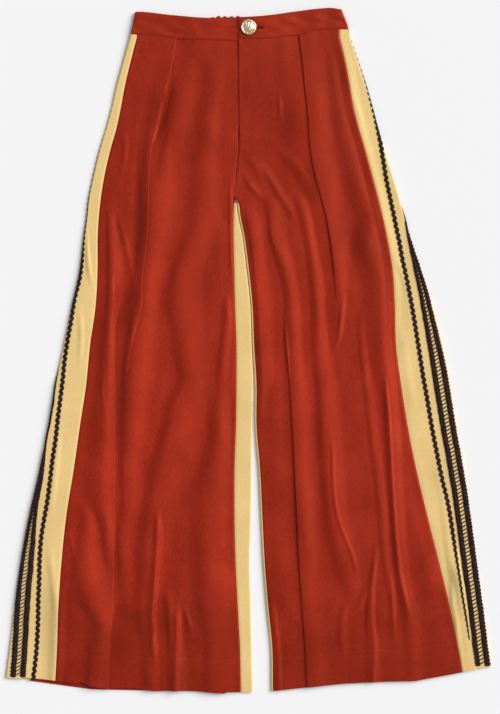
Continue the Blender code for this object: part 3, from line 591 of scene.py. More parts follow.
for leg in LEGS:
    way = WAY[leg]
    level = np.linspace(WAIST_DOWN, HEM_DOWN, ROWS)[:, None]
    edge, under, seam = seam_places(leg, way, level, "outer")
    across, down, up, centre = wrap_columns(leg, level, edge, under, way, edge_level(level))
    if leg == "left":
        names, rows = TUCK.split(), np.array(TUCK_ROWS, float)
        tuck = {name: read_off(rows[:, [0, i]], level[:, 0]) for i, name in enumerate(names)}
        along, tuck_up = fold_path(tuck["depth"] * MM, tuck["turn"])
        # The flap lies on the seam's side, so the fold runs the other way round from the edge.
        fold = tuck["across"][:, None] - (along[:, ::-1] * way) / PIXEL
        first = centre + (fold[:, :1] - centre) * np.linspace(0, 1, 10)[None, 1:-1]
        last = fold[:, -1:] + (seam - fold[:, -1:]) * np.linspace(0, 1, 9)[None, 1:] ** 0.8
        top_across = np.hstack([first, fold, last])
        settle = np.abs(top_across - tuck["across"][:, None]) * PIXEL
        top_rise = np.zeros(top_across.shape)
        start, end = first.shape[1], first.shape[1] + fold.shape[1]
        top_rise[:, :start] = tuck_up[:, -1:] * (1 - ease(settle[:, :start] / TUCK_SETTLE[0]))
        top_rise[:, start:end] = tuck_up[:, ::-1]
        top_rise[:, end:] = tuck_up[:, :1] * (1 - ease((settle[:, end:] - TUCK_SETTLE[1]) / TUCK_SETTLE[1]))
    else:
        share = np.linspace(0, 1, 27)[None, 1:] ** 0.9
        top_across = centre + (seam - centre) * share
        top_rise = np.zeros(top_across.shape)
    top_down = row_down(leg, "front", top_across, level)
    from_seam = np.abs(seam - top_across) * PIXEL
    top_up = side_level(leg, top_across, top_down) + top_rise + seam_roll(from_seam)
    top_up += unevenness(top_across, top_down, 16, SIDE_UNEVEN) * ease(from_seam / SEAM_FADE)
    points = join_layers((across, down, up), (top_across, top_down, top_up))
    side_panels[leg] = sheet_mesh(f"side_{leg}", points, CLOTH, yellow_cotton)
    # Paints shade into the panel's colour where its creases lie in shade.
    paint_light_and_shade(side_panels[leg], SIDE_PAINTED_SHADE[leg])
    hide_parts(f"side_panel_{leg}")


for leg in LEGS:
    way = -WAY[leg]
    rows = round(ROWS * (HEM_DOWN - CROTCH_DOWN) / (HEM_DOWN - WAIST_DOWN))
    level = np.linspace(CROTCH_DOWN, HEM_DOWN, rows)[:, None]
    edge, under, seam = seam_places(leg, way, level, "inner")
    across, down, up, centre = wrap_columns(leg, level, edge, under, way, edge_level(level))
    share = np.linspace(0, 1, 10)[None, 1:]
    top_across = centre + (seam - centre) * share
    top_down = row_down(leg, "front", top_across, level)
    top_up = edge_level(top_down) + seam_roll(np.abs(seam - top_across) * PIXEL) * (leg == "right")
    points = join_layers((across, down, up), (top_across, top_down, top_up))
    inseam = sheet_mesh(f"inseam_{leg}", points, CLOTH, yellow_cotton)
    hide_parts(f"inseam_panel_{leg}")


# The fronts: rust satin with one deep pleat each at the waist and one long flap each below it. The
# left front laps over the right one down the fly, and both lie in long soft folds to the hem.
TOP_LEVEL = 4.2 * MM
TOP_LEVEL_AT_WAIST = 5.1 * MM
EDGE_RISE_WIDTH = 25 * MM
FOLD_SETTLE = 30 * MM
FLY_END_DOWN = 127.0
FLY_UNDER_DROP = 0.6 * MM
FLY_OVER_LIFT = 0.8 * MM
FLY_WAIST_LIFT = 2.3 * MM
FLY_SETTLE = 75 * MM
# In pixels: the fly's edge and where the lap ends across, and how its heights fade going down.
FLY_EDGE = 238.7
FLY_LAP_END = 258.0
FLY_FADE = 25.0
FLY_WAIST_DOWN = 42.0
FLY_WAIST_FADE = 35.0
CROTCH_FADE = 35.0
FOLDS_START = 42.0
FOLDS_FADE = 30.0
NEAR_EDGE = 10 * MM
FRONT_LOWEST = 2.1 * MM
HEM_LINE = 33.0
HEM_RISE = 0.05 * MM
HEM_GROOVE = 0.16 * MM
HEM_GROOVE_HALF = 1.2
# More rows, a pixel apart, where the hem's stitches pull the cloth down.
HEM_ROWS = np.arange(652, 661, 1.0)
# How each fold turns over on its way down: its depth in millimetres and its turn in degrees.
FOLDS = {
    "right": {
        "flap": [(270, 1, 0), (305, 1, 60), (345, 2, 140), (385, 3, 180), (690, 3, 180)],
        "pleat": [(37, 13, 180), (110, 12, 180), (175, 9, 180), (235, 4, 180), (270, 1, 150),
         (305, 1, 60), (345, 1, 0)],
    },
    "left": {
        "flap": [(310, 1, 0), (380, 1, 40), (440, 1.2, 60), (520, 2, 140), (600, 3, 180),
         (690, 3, 180)],
        "pleat": [(37, 13, 180), (110, 12, 180), (175, 9, 180), (214, 4, 180), (235, 1, 150),
         (270, 1, 60), (305, 1, 0)],
    },
}
# The folds from the side seam inwards, with the columns of cloth before each, then those after all.
FOLD_ORDER = {"right": [("flap", 32), ("pleat", 22)], "left": [("pleat", 58), ("flap", 42)]}
LAST_COLUMNS = {"right": 82, "left": 30}
# The left front lies flatter than the right one.
FOLD_STRENGTH = {"right": 1.0, "left": 0.75}
# The main folds that each front lies in. Every row gives the place down, where the crest lies across,
# how far the fold reaches to its left and right in pixels, and its height in millimetres.
FRONT_FOLDS = {
    "right": [
        [(48, 174, 12, 8, 0.4), (80, 167, 16, 9, 0.9), (100, 161, 15, 12, 1), (120, 157, 16, 15, 1.2),
         (140, 153.5, 15, 19, 2), (160, 151, 15, 26, 3.4), (200, 149.5, 16, 31, 6),
         (240, 148, 14, 28, 6), (270, 145, 14, 23, 5.8), (300, 142, 18, 19, 5.2),
         (330, 137, 14, 24, 5.2), (360, 134, 14, 27, 5.4), (400, 129, 12, 24, 5),
         (440, 127, 10, 21, 4), (480, 125, 8, 18, 3), (505, 126, 8, 16, 2), (540, 121, 6, 12, 2),
         (565, 122, 6, 12, 1.8), (600, 124, 6, 10, 0)],
        [(50, 178, 8, 14, 0.4), (80, 178, 9, 22, 1.2), (100, 177, 11, 22, 2.2), (120, 173, 9, 21, 2.6),
         (140, 169, 8, 21, 2.2), (160, 164, 8, 23, 1.2), (185, 160, 6, 22, 0)],
        [(50, 209, 9, 14, 0.5), (80, 212, 12, 16, 1), (110, 208, 13, 16, 1.5), (140, 206, 14, 16, 2.2),
         (160, 202, 14, 18, 1.9), (180, 204, 20, 20, 2.5), (220, 199, 17, 24, 3.4),
         (245, 191, 16, 25, 3.3), (265, 181, 11, 26, 3.6), (300, 176, 15, 30, 4),
         (325, 180, 15, 26, 3.2), (360, 185, 14, 28, 3.4), (382, 186, 12, 28, 3.8),
         (400, 177, 14, 34, 4.8), (420, 173, 14, 34, 5.6), (460, 163, 15, 33, 5.6),
         (500, 154, 14, 29, 4.8), (530, 149, 14, 27, 4), (580, 146, 14, 22, 3.6),
         (610, 143, 12, 17, 2.6), (640, 147, 10, 14, 2.4), (692, 150, 8, 12, 1.8)],
        [(385, 222, 6, 12, 0), (405, 219, 12, 14, 2), (440, 217, 13, 17, 3.2), (480, 208, 18, 25, 4),
         (540, 205, 17, 28, 3.5), (600, 207, 16, 28, 3.2), (640, 211, 10, 16, 1.6),
         (692, 210, 12, 26, 2)],
        [(205, 109, 4, 8, 0.6), (235, 109.5, 4, 12, 2.2), (265, 111, 6, 14, 3), (290, 111, 6, 17, 3.2),
         (320, 109, 7, 9, 2.8), (360, 107, 11, 9, 3), (400, 104.5, 14, 11, 3.2),
         (450, 102, 17, 13, 3.6), (500, 100, 17, 15, 3.4), (525, 106, 8, 9, 2.4),
         (545, 107, 6, 8, 1.8), (570, 109, 4, 4, 0)],
        [(495, 84, 8, 10, 0), (520, 86, 9, 13, 2.6), (545, 84, 11, 18, 3.8), (575, 83, 14, 30, 4.6),
         (600, 91, 17, 26, 5), (620, 100, 15, 15, 4.2), (645, 98, 16, 14, 3.4), (692, 93, 14, 15, 3)],
        [(585, 167, 6, 7, 0), (602, 168, 5, 9, 1.4), (622, 170, 6, 12, 2.6), (650, 174, 9, 14, 2.8),
         (692, 175, 9, 14, 2.6)],
        [(288, 227, 6, 5, 0), (318, 227, 7, 8, 1.7), (345, 224, 6, 9, 1.5), (375, 220.5, 6, 9, 1.2),
         (400, 219, 6, 9, 0)],
    ],
    "left": [
        [(205, 246, 6, 14, 0.4), (225, 250, 6, 15, 2.6), (260, 254, 6, 15, 3.6),
         (300, 255, 5, 20, 4.4), (350, 257, 5, 19, 4.4), (380, 259, 5, 16, 3.8),
         (405, 258, 5, 10, 1.8), (430, 258, 5, 8, 0)],
        [(190, 266, 8, 14, 0.6), (210, 270, 6, 18, 2), (240, 273, 5, 17, 3), (260, 281, 8, 15, 3.3),
         (280, 287, 8, 13, 3.3), (320, 291, 9, 12, 3.2), (350, 293, 12, 12, 2.4),
         (400, 297, 15, 15, 2.2), (440, 300, 16, 15, 1.9), (500, 303, 16, 17, 1.9),
         (540, 305, 16, 18, 1.9), (570, 307, 16, 20, 1.6), (605, 309, 16, 22, 1.4),
         (650, 312, 16, 18, 1.2), (692, 313, 16, 22, 1.2)],
        [(190, 297, 8, 8, 0.6), (205, 301, 8, 10, 2.1), (240, 309, 7, 8, 2.1), (280, 314, 7, 11, 2.7),
         (310, 317, 8, 10, 3.1), (350, 318, 9, 14, 3.2), (390, 322, 9, 20, 4), (440, 325, 10, 20, 4.6),
         (500, 330, 11, 20, 4.8), (530, 334, 12, 22, 4.4), (560, 342, 14, 22, 3.8),
         (582, 348, 14, 16, 2.8), (606, 356, 10, 10, 0)],
        [(46, 302, 16, 30, 1), (70, 304, 34, 44, 2.8), (100, 308, 42, 48, 4.8),
         (125, 309, 42, 48, 5.4), (155, 312.5, 36, 46, 4.6), (180, 317, 26, 38, 3.8),
         (200, 323, 21, 30, 2.8), (240, 331.5, 18, 22, 1.6), (262, 335, 16, 16, 2),
         (285, 338, 14, 12, 2), (320, 338, 11, 9, 2), (352, 334, 6, 8, 0)],
        [(48, 332, 8, 10, 0.6), (80, 335, 10, 12, 1.1), (110, 341, 14, 16, 1.6),
         (140, 347, 15, 18, 1.9), (180, 356, 18, 20, 2.4), (220, 370, 18, 18, 3),
         (245, 368, 18, 22, 3.2), (280, 378, 22, 18, 3.3), (330, 382, 19, 15, 3.4),
         (360, 384, 16, 14, 4), (400, 389, 11, 12, 4), (480, 393, 8, 12, 4), (540, 397, 7, 12, 3.4),
         (580, 400, 6, 14, 3), (620, 408, 8, 14, 2.4), (650, 411, 10, 12, 1.5), (692, 412, 10, 12, 1)],
        [(305, 360, 5, 6, 0), (345, 362, 5, 6, 0.9), (420, 370, 5, 9, 1.4), (500, 380, 6, 9, 1.7),
         (560, 385, 5, 6, 1.2), (600, 391, 4, 5, 1), (650, 393, 4, 5, 0)],
        [(538, 376, 4, 4, 0), (562, 374.5, 4, 4, 1.4), (600, 369, 4, 7, 2.4), (622, 368, 4, 8, 2.4),
         (645, 371, 8, 10, 2), (692, 371, 6, 12, 2)],
        [(596, 353, 5, 5, 0), (612, 343, 5, 7, 1.5), (628, 341, 6, 8, 1.9), (646, 342, 5, 8, 1.2),
         (660, 343, 5, 6, 0)],
    ],
}
# Smaller lines between them, written like those of the side panels.
FRONT_CREASES = {
    "right": [
        ("top", -3.6, 2, 14, [(171, 76), (164.5, 98), (160, 116), (156.5, 130), (152.5, 150)]),
        ("left", 1, 3, 4, [(139.7, 160), (140.5, 185), (141, 212)]),
        ("left", 0.7, 5, 8, [(113, 203), (122, 239), (131, 281), (133, 300)]),
        ("top", -1.2, 18, 10, [(152, 84), (146, 120), (141, 160), (138, 220), (134, 275)]),
        ("right", 1.2, 8, 5, [(138, 300), (134, 331), (129, 360), (125, 392)]),
        ("left", 1.3, 4, 4, [(229.3, 176), (229.3, 220), (230.6, 285)]),
        ("right", 2.2, 12, 6, [(160, 508), (161, 540), (159, 562), (155.5, 592), (154, 615),
         (156, 644), (158, 668)]),
        ("right", 1, 5, 4, [(107, 362), (104, 391), (107, 418)]),
        ("left", 1.2, 6, 7, [(180, 600), (187, 625), (190, 640)]),
        ("right", 1, 8, 8, [(97, 640), (94, 665), (92, 690)]),
        ("right", 0.9, 5, 5, [(66, 520), (74, 545), (81, 575)]),
        ("left", 0.8, 6, 8, [(115, 118), (123, 145), (116, 185)]),
        ("right", 2, 8, 3.4, [(160.5, 505), (159, 540), (157, 580), (155, 640), (157, 672)]),
        ("right", 2.2, 8, 9, [(180, 596), (180, 630), (179, 660), (178, 690)]),
    ],
    "left": [
        ("left", 1, 4, 5, [(277.5, 90), (278, 104), (279, 122)]),
        ("top", 0.9, 14, 10, [(268, 136), (285, 154), (297, 166), (305, 180), (311, 200)]),
        ("left", 1.2, 7, 11, [(248, 152), (262, 172), (269, 182), (279, 199), (298, 228)]),
        ("left", 1.4, 6, 8, [(240, 172), (252.7, 192), (266, 204)]),
        ("right", 1, 4, 4, [(286, 310), (287, 336), (289, 360), (290, 388)]),
        ("right", 1.2, 8, 8, [(246, 152), (256, 163), (266, 182)]),
        ("right", 1.6, 6, 5, [(346, 290), (343, 318), (339, 341), (332, 355)]),
        ("right", 1.3, 8, 8, [(272.5, 590), (276, 620), (280, 660), (281, 690)]),
        ("right", 1.1, 5, 5, [(392, 566), (394, 600), (396, 645)]),
        ("left", 1.8, 9, 7, [(368, 578), (360, 597), (349, 616)]),
        ("left", 0.9, 8, 10, [(362, 262), (372, 268), (382, 264)]),
        ("right", 1.9, 7, 4, [(386, 372), (390, 420), (394.5, 500), (398, 545), (402.5, 580),
         (407, 600), (413, 624)]),
        ("right", 1.3, 6, 3, [(376, 554), (373, 610), (376, 650), (374, 686)]),
        ("right", 1.1, 5, 3, [(333, 434), (340, 520), (355, 560), (360, 584)]),
    ],
}
# Low broad swells, as the place across and down, the reach each way in pixels and the height.
SWELLS = {
    "right": [(84, 578, 34, 36, 3), (212, 584, 30, 32, 2.4)],
    "left": [(428, 574, 24, 32, 1.2), (366, 246, 20, 26, 1.4)],
}


def folds(rows, across, down):
    """Height added by the main folds: each rises on one side of its crest and falls on the other."""
    height = np.zeros(across.shape)
    for fold in rows:
        table = np.array(fold, float)
        crest, left, right, top = (follow(table[:, [0, i]], down) for i in range(1, 5))
        off = across - crest
        reach = np.clip(off / np.where(off < 0, -np.maximum(left, 2), np.maximum(right, 2)), 0, 1)
        running = ease((down - table[0, 0]) / 12 + (table[0, 0] < 60))
        height += np.maximum(top, 0) * MM * running * (1 + np.cos(math.pi * reach)) / 2
    return height


def swells(rows, across, down):
    """Height added by the low broad swells."""
    height = np.zeros(across.shape)
    for middle, low, wide, long, top in rows:
        reach = np.clip(np.hypot((across - middle) / wide, (down - low) / long), 0, 1)
        height += top * MM * (1 + np.cos(math.pi * reach)) / 2
    return height


def front_level(leg, across, down):
    """Height of the middle of a front before its folds turn over."""
    at_waist = 1 - ease((down - WAIST_DOWN) / WAIST_FADE)
    crown = TOP_LEVEL + (TOP_LEVEL_AT_WAIST - TOP_LEVEL) * at_waist
    from_side = np.abs(across - leg_line(leg, "outer_seam", down)) * PIXEL
    from_inner = np.abs(across - leg_line(leg, "inner_seam", down)) * PIXEL
    above_crotch = 1 - ease((down - CROTCH_DOWN) / CROTCH_FADE)
    inner_rise = np.maximum(ease(from_inner / EDGE_RISE_WIDTH), above_crotch)
    rise = ease(from_side / EDGE_RISE_WIDTH) * inner_rise
    low = edge_level(down)
    lift = read_off(SEAM_LIFT[leg], down) * MM * (1 - ease(from_side / SEAM_LIFT_WIDTH))
    inner_edge = np.maximum(ease(from_inner / NEAR_EDGE), 0.4 * above_crotch)
    near_edge = ease(from_side / NEAR_EDGE) * inner_edge
    soft = FOLD_STRENGTH[leg] * folds(FRONT_FOLDS[leg], across, down)
    soft = soft + creases(FRONT_CREASES[leg], across, down) + swells(SWELLS[leg], across, down)
    soft = soft * near_edge * ease((down - FOLDS_START) / FOLDS_FADE)
    return low + (crown - low) * rise + lift + soft


# Painted highlight and shade: where the colour is painted lighter or darker, the place across and down, the
# reach each way, how much.
FRONT_PAINTED_LIGHT = {
    "right": [(165, 400, 60, 110, 0.75), (206, 90, 46, 80, -0.55), (100, 500, 44, 120, 0.8),
     (205, 545, 36, 70, 0.35), (147, 215, 7, 90, -0.9), (150, 480, 46, 110, 0.4),
     (163, 116, 9, 34, -1.2), (157, 115, 7, 44, -1), (164, 168, 7, 30, -0.8), (121, 230, 8, 28, -0.8),
     (78, 540, 18, 90, 0.8), (156, 590, 6, 90, 1.1), (173, 662, 6, 50, 1.5)],
    "left": [(270, 85, 60, 95, -0.6), (344, 100, 36, 120, -1.5), (300, 180, 50, 60, -0.3),
     (292, 125, 18, 50, -0.7), (360, 240, 34, 60, -1), (254, 290, 14, 90, 1.6),
     (298, 400, 12, 80, 0.5), (275, 640, 15, 64, 1.2), (340, 225, 12, 40, -0.8),
     (389, 455, 7, 100, 1.1), (311, 185, 10, 42, -1.4), (377, 248, 9, 30, -1), (311, 465, 8, 62, -0.9),
     (285, 44, 14, 12, -0.8)],
}
# The uneven line near each hem, below which the colour is painted darker as shade.
HEM_PAINTED_SHADE = {
    "right": [(50, 594), (72, 597), (86, 604), (100, 622), (111, 628), (118, 604), (135, 612),
     (150, 604), (164, 596), (178, 622), (196, 600), (214, 610), (240, 606)],
    "left": [(264, 590), (285, 600), (300, 626), (330, 632), (352, 612), (372, 606), (392, 618),
     (406, 604), (420, 592), (450, 594)],
}


def fly_shift(leg, across, down):
    """At the fly the left front lies on the right one, and both part a little in height."""
    above = 1 - ease((down - FLY_END_DOWN) / FLY_FADE)
    if leg == "right":
        near = 1 - ease((FLY_EDGE - across) * PIXEL / FOLD_SETTLE)
        return -FLY_UNDER_DROP * near * above
    near = 1 - ease((across - FLY_LAP_END) * PIXEL / FLY_SETTLE)
    at_waist = 1 - ease((down - FLY_WAIST_DOWN) / FLY_WAIST_FADE)
    return (FLY_OVER_LIFT + (FLY_WAIST_LIFT - FLY_OVER_LIFT) * at_waist) * near * above


def front_points(leg):
    """Points across and down a front, through its pleat and its flap."""
    way = WAY[leg]
    half_gap = SEAM_GAP / 2 / PIXEL * way
    level = np.unique(np.concatenate([np.linspace(WAIST_DOWN, HEM_DOWN, ROWS), HEM_ROWS]))
    blocks = []
    # Each column is a share of the way between two lines, each moved over by some pixels.
    columns = [("outer_seam", half_gap, "outer_seam", half_gap, 0.0)]
    for name, count in FOLD_ORDER[leg]:
        table = np.array(FOLDS[leg][name], float)
        depth = read_off(table[:, [0, 1]], level) * MM
        along, up = fold_path(depth, read_off(table[:, [0, 2]], level))
        steps = along / PIXEL * way
        start, moved = columns[-1][2:4]
        for share in (np.arange(1, count) / count) ** (1.25 if start == "outer_seam" else 1.0):
            columns.append((start, moved, name, steps[:, 0], share))
        blocks.append((name, depth[:, None], up, len(columns)))
        columns += [(name, steps[:, i], name, steps[:, i], 0.0) for i in range(steps.shape[1])]
    start, moved = columns[-1][2:4]
    for share in 1 - (1 - np.arange(1, LAST_COLUMNS[leg] + 1) / LAST_COLUMNS[leg]) ** 1.2:
        columns.append((start, moved, "inner_seam", -half_gap, share))
    down = np.repeat(level[:, None], len(columns), axis=1)
    across = np.zeros(down.shape)
    for _ in range(3):
        for i, (first, first_moved, last, last_moved, share) in enumerate(columns):
            low = leg_line(leg, first, down[:, i]) + first_moved
            high = leg_line(leg, last, down[:, i]) + last_moved
            across[:, i] = low + (high - low) * share
        down = row_down(leg, "front", across, level[:, None])
    up = front_level(leg, across, down) + fly_shift(leg, across, down)
    for name, depth, rise, place in blocks:
        past = (across - leg_line(leg, name, down)) * PIXEL * way
        end = place + rise.shape[1]
        before, after = past[:, :place], past[:, end:]
        up[:, :place] += rise[:, :1] * (1 - ease((-before - depth - FOLD_RADIUS) / FOLD_SETTLE))
        up[:, end:] += rise[:, -1:] * (1 - ease(after / FOLD_SETTLE))
        up[:, place:end] += rise
    # The seams lie in a groove, and the hem below its line of stitches is double cloth.
    from_side = np.abs(across - across[:, :1]) * PIXEL
    from_inner = np.abs(across - across[:, -1:]) * PIXEL
    below_fly = ease((down - FLY_END_DOWN) / 8)
    inner_roll = 0.4 + 0.6 * ease((down - CROTCH_DOWN) / 10)
    up += seam_roll(from_side) + seam_roll(from_inner) * below_fly * inner_roll
    uneven = unevenness(across, down, 14, FRONT_UNEVEN) * ease(from_side / SEAM_FADE)
    up += uneven * ease(from_inner / SEAM_FADE)
    hem = HEM_DOWN - HEM_LINE
    groove = HEM_GROOVE * np.exp(-(((level - hem) / HEM_GROOVE_HALF) ** 2))
    up += (HEM_RISE * ease((level - hem) / 2) - groove)[:, None]
    return metres(across, down, np.maximum(up, FRONT_LOWEST))


fronts = {}
for leg in LEGS:
    fronts[leg] = sheet_mesh(f"front_{leg}", front_points(leg), CLOTH, rust_satin)
    # Paints highlight and shade into the front's colour, and painted shade below the uneven line near the
    # hem.
    paint_light_and_shade(fronts[leg], FRONT_PAINTED_LIGHT[leg], HEM_PAINTED_SHADE[leg])
    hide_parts(f"front_panel_{leg}")


# The back waistband: one strip of the rust satin drawn up on elastic, so that it lies in small
# gathers and its top edge shows as little scallops behind the button.
GATHERS = 29
GATHER_HEIGHT = 2.2 * MM
GATHERED_CLOTH = 1.0 * MM
SCALLOP = 2.6 * MM / PIXEL
BAND_SIDE = {"right": [(10.0, 135.4), (36.0, 130.2)], "left": [(8.0, 340.4), (31.0, 348.4)]}
BACK_BAND_TOP = [(130, 15.5), (171, 18.2), (200, 19.6), (212, 17.8), (240, 17.4), (256, 19),
                 (295, 15.6), (352, 12.5)]
# The bands' side edges start this far down, in pixels, and run this far.
BAND_SIDE_DOWN = 12.0
BACK_BAND_LEFT_DOWN = 10.0
BAND_SIDE_RUN = 22.0
# How far inside those edges the back band ends.
BACK_BAND_IN = 14.5 * MM / PIXEL
GATHER_FOOT = 0.6 * MM

phase = np.linspace(0, GATHERS, 10 * GATHERS + 1)[None, :]
fraction = np.linspace(0, 1, 15)[:, None]
wave = (1 - np.cos(2 * math.pi * phase)) / 2
uneven = 0.75 + 0.25 * np.sin(phase * 2.3)
right_end, left_end = (
    read_off(BAND_SIDE[leg], start + BAND_SIDE_RUN * fraction) + BACK_BAND_IN * WAY[leg]
    for leg, start in (("right", BAND_SIDE_DOWN), ("left", BACK_BAND_LEFT_DOWN))
)
across = right_end + (left_end - right_end) * phase / GATHERS
top = follow(BACK_BAND_TOP, across) - wave * SCALLOP * uneven
bottom = read_off(BACK_WAIST["right"] + BACK_WAIST["left"], across)
down = top + (bottom - top) * fraction
up = GATHER_FOOT + GATHER_HEIGHT * wave * uneven * (1 - 0.5 * fraction)
back_band = sheet_mesh("back_band", metres(across, down, up), GATHERED_CLOTH, rust_satin)
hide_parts("waistband_back")


# The front waistband: two halves of doubled rust satin, turned over at the top edge. The left half
# laps over the right one at the middle, and has the buttonhole.
BAND_CLOTH = 2.0 * MM
BAND_LEVEL = 5.4 * MM
BAND_UNDER_LEVEL = 1.1 * MM
BAND_UNDER_RUN = 14.2 * MM
BAND_OVERLAP_LIFT = 2.5 * MM
BAND_EDGE_ROLL = 0.7 * MM
BAND_ENDS = {"right": 256.0, "left": 238.7}
BAND_TOP = {
    "right": [(130, 12.6), (135, 12.2), (171, 15.3), (202, 17.9), (264, 17)],
    "left": [(230, 17.4), (247, 17.4), (273, 15.2), (295, 11.9), (322, 8.7), (331, 8.2), (341, 9.6),
     (352, 10)],
}
BUTTON_ACROSS = 248.7
BUTTON_DOWN = 27.9
HOLE = (247.6, 263.2)
HOLE_HALF = 0.45 * MM
# The lap settles towards the left hip. The rows beside the hole run level between two places.
LAP_SETTLED = 304.0
LAP_SETTLE = 46.0
HOLE_LEVEL = (240, 272)
HOLE_ROWS = ((8, -1), (9, 1))
# The rows lie close together where the buttonhole is, and at the two rolled edges.
BAND_ROWS = [
    0,
    0.03,
    0.07,
    0.13,
    0.2,
    0.28,
    0.36,
    0.44,
    0.485,
    0.515,
    0.56,
    0.64,
    0.72,
    0.8,
    0.87,
    0.93,
    0.97,
    1,
]
BAND_WRINKLE = 1.3 * MM

bands = {}
for leg in LEGS:
    way = WAY[leg]
    fraction = np.array(BAND_ROWS)[:, None]
    edge = read_off(BAND_SIDE[leg], BAND_SIDE_DOWN + BAND_SIDE_RUN * fraction)
    radius = (BAND_LEVEL - BAND_UNDER_LEVEL) / 2
    centre = edge + way * (radius + BAND_CLOTH / 2) / PIXEL
    under = edge + way * BAND_UNDER_RUN / PIXEL
    turn = np.radians(np.linspace(-90, -270, 11))[None, :]
    under_across = under + (centre - under) * np.linspace(0, 1, 5)[None, :-1]
    arc_across = centre + way * radius * np.cos(turn) / PIXEL
    top_across = centre + (BAND_ENDS[leg] - centre) * np.linspace(0, 1, 110)[None, 1:]
    across = np.hstack([under_across, arc_across, top_across])
    up = np.hstack([
        np.full(under_across.shape, BAND_UNDER_LEVEL),
        BAND_UNDER_LEVEL + radius + radius * np.sin(turn) + 0 * arc_across,
        np.full(top_across.shape, BAND_LEVEL),
    ])
    top = follow(BAND_TOP[leg], across)
    bottom = follow(BAND_BOTTOM[leg], across)
    down = top + (bottom - top) * fraction
    on_top = np.arange(across.shape[1])[None, :] >= across.shape[1] - top_across.shape[1]
    height = (bottom - top) * PIXEL
    from_end = np.minimum(fraction, 1 - fraction) * height
    if leg == "left":
        up = up + BAND_OVERLAP_LIFT * ease((LAP_SETTLED - across) / LAP_SETTLE)
        from_end = np.minimum(from_end, (across - BAND_ENDS[leg]) * PIXEL)
        # The rows nearest the middle run level through the buttonhole.
        near_hole = ease((across - HOLE_LEVEL[0]) / 6) * ease((HOLE_LEVEL[1] - across) / 6)
        for row, side in HOLE_ROWS:
            level_down = BUTTON_DOWN + side * HOLE_HALF / PIXEL
            down[row] += (level_down - down[row]) * near_hole[row]
    wrinkle = unevenness(across / 1.8, down * 3.6, 9, BAND_WRINKLE) * ease(from_end / (7 * MM))
    up = up + (wrinkle - BAND_EDGE_ROLL * (1 - ease(from_end / (2.4 * MM)))) * on_top
    bm = grid_of(metres(across, down, up))
    if leg == "left":
        hole_start, hole_end = ((x - MIDDLE_ACROSS) * PIXEL for x in HOLE)
        hole_y = (MIDDLE_DOWN - BUTTON_DOWN) * PIXEL
        in_hole = []
        for face in bm.faces:
            centre_of = face.calc_center_median()
            if hole_start < centre_of.x < hole_end and abs(centre_of.y - hole_y) < 0.4 * MM:
                in_hole.append(face)
        bmesh.ops.delete(bm, geom=in_hole, context="FACES")
    thicken(bm, BAND_CLOTH)
    bands[leg] = finish_piece(f"front_band_{leg}", bm, rust_satin)
    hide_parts(f"waistband_front_{leg}")


# The button: a gilt metal shank button with a rolled rim and a domed face with beaten dents. Its
# shank stands in the buttonhole of the upper half of the band.
BUTTON_STEPS = 64
# The rim is pinched into notches, and the face is beaten and drawn into rays.
RIM_INSIDE = 9.8
RIM_NOTCHES = 16
NOTCH_HEIGHT = 0.28 * MM
FACE_RAYS = 8
DENT_HEIGHT = 0.22 * MM
# The button's outline from the foot of its shank, as radius and height above the band's upper face.
BUTTON_PROFILE = [(0, -2.3), (1.2, -2.3), (1.2, 0.3), (9, 0.3), (10.6, 0.6), (11.5, 1.1), (11.9, 1.8),
                  (11.6, 2.5), (10.9, 3), (10.2, 3.1), (9.6, 2.8), (9.1, 2.5), (8.2, 2.8), (7.2, 3.1),
                  (6, 3.4), (4.8, 3.65), (3.6, 3.8), (2.4, 3.95), (1.2, 4), (0, 4)]

band_face = BAND_LEVEL + BAND_OVERLAP_LIFT + BAND_CLOTH / 2
centre = Vector(metres(BUTTON_ACROSS, BUTTON_DOWN, band_face))
bm = bmesh.new()
ring = [bm.verts.new(centre + Vector((radius, 0, height)) * MM) for radius, height in BUTTON_PROFILE]
edges = [bm.edges.new(pair) for pair in zip(ring, ring[1:])]
bmesh.ops.spin(
    bm, geom=ring + edges, cent=centre, axis=(0, 0, 1), angle=2 * math.pi, steps=BUTTON_STEPS,
    use_merge=True,
)
bmesh.ops.remove_doubles(bm, verts=bm.verts[:], dist=1e-6)
bmesh.ops.recalc_face_normals(bm, faces=bm.faces[:])
for vertex in bm.verts:
    out = (vertex.co - centre) / MM
    radius = math.hypot(out.x, out.y)
    if out.z > 1.0 and radius > RIM_INSIDE:
        vertex.co.z += NOTCH_HEIGHT * math.cos(RIM_NOTCHES * math.atan2(out.y, out.x))
    elif out.z > 2.0 and radius > 0.5:
        dent = noise.cell(Vector((out.x * 0.55, out.y * 0.55, 3.0)))
        dent += 0.6 * math.cos(FACE_RAYS * math.atan2(out.y, out.x) + radius)
        vertex.co.z += DENT_HEIGHT * dent
gilt, tree, shader = new_paint("gilt", Metallic=1.0, Roughness=0.3)
place = add_node(tree, "TexCoord").outputs["Object"]
wear = add_node(tree, "TexNoise", Scale=420.0, Detail=4.0, Vector=place).outputs["Fac"]
tone = two_tones(tree, wear, (0.35, (0.62, 0.47, 0.24)), (0.6, (0.93, 0.84, 0.62)))
feed(tree, shader.inputs["Base Color"], tone)
beaten = add_node(tree, "Bump", Distance=0.15 * MM, Strength=0.6, Height=wear)
feed(tree, shader.inputs["Normal"], beaten.outputs["Normal"])
button = finish_piece("gilt_button", bm, gilt, sharp=35)
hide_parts("button")


# The sewing thread: the bound buttonhole, the curved line that holds the fly, and the lines of
# stitches that hold the hems. Each stitch is a short plump bar of rust thread.
THREAD = 0.55 * MM
STITCH = 2.6 * MM
FLY_LINE = [(257, 42), (257, 60), (257, 85), (257, 102), (255.5, 113), (252, 121), (246, 126.5),
            (240.5, 128)]
HEM_STITCH = 7.0 * MM
HOLE_STITCHES = 64
HOLE_EDGE = 1.4 * MM
THREAD_LIFT = Vector((0, 0, 0.1 * MM))
# Where down the leg the hem's line of stitches takes its two ends from the seams.
HEM_SEAMS = np.array(660.0)

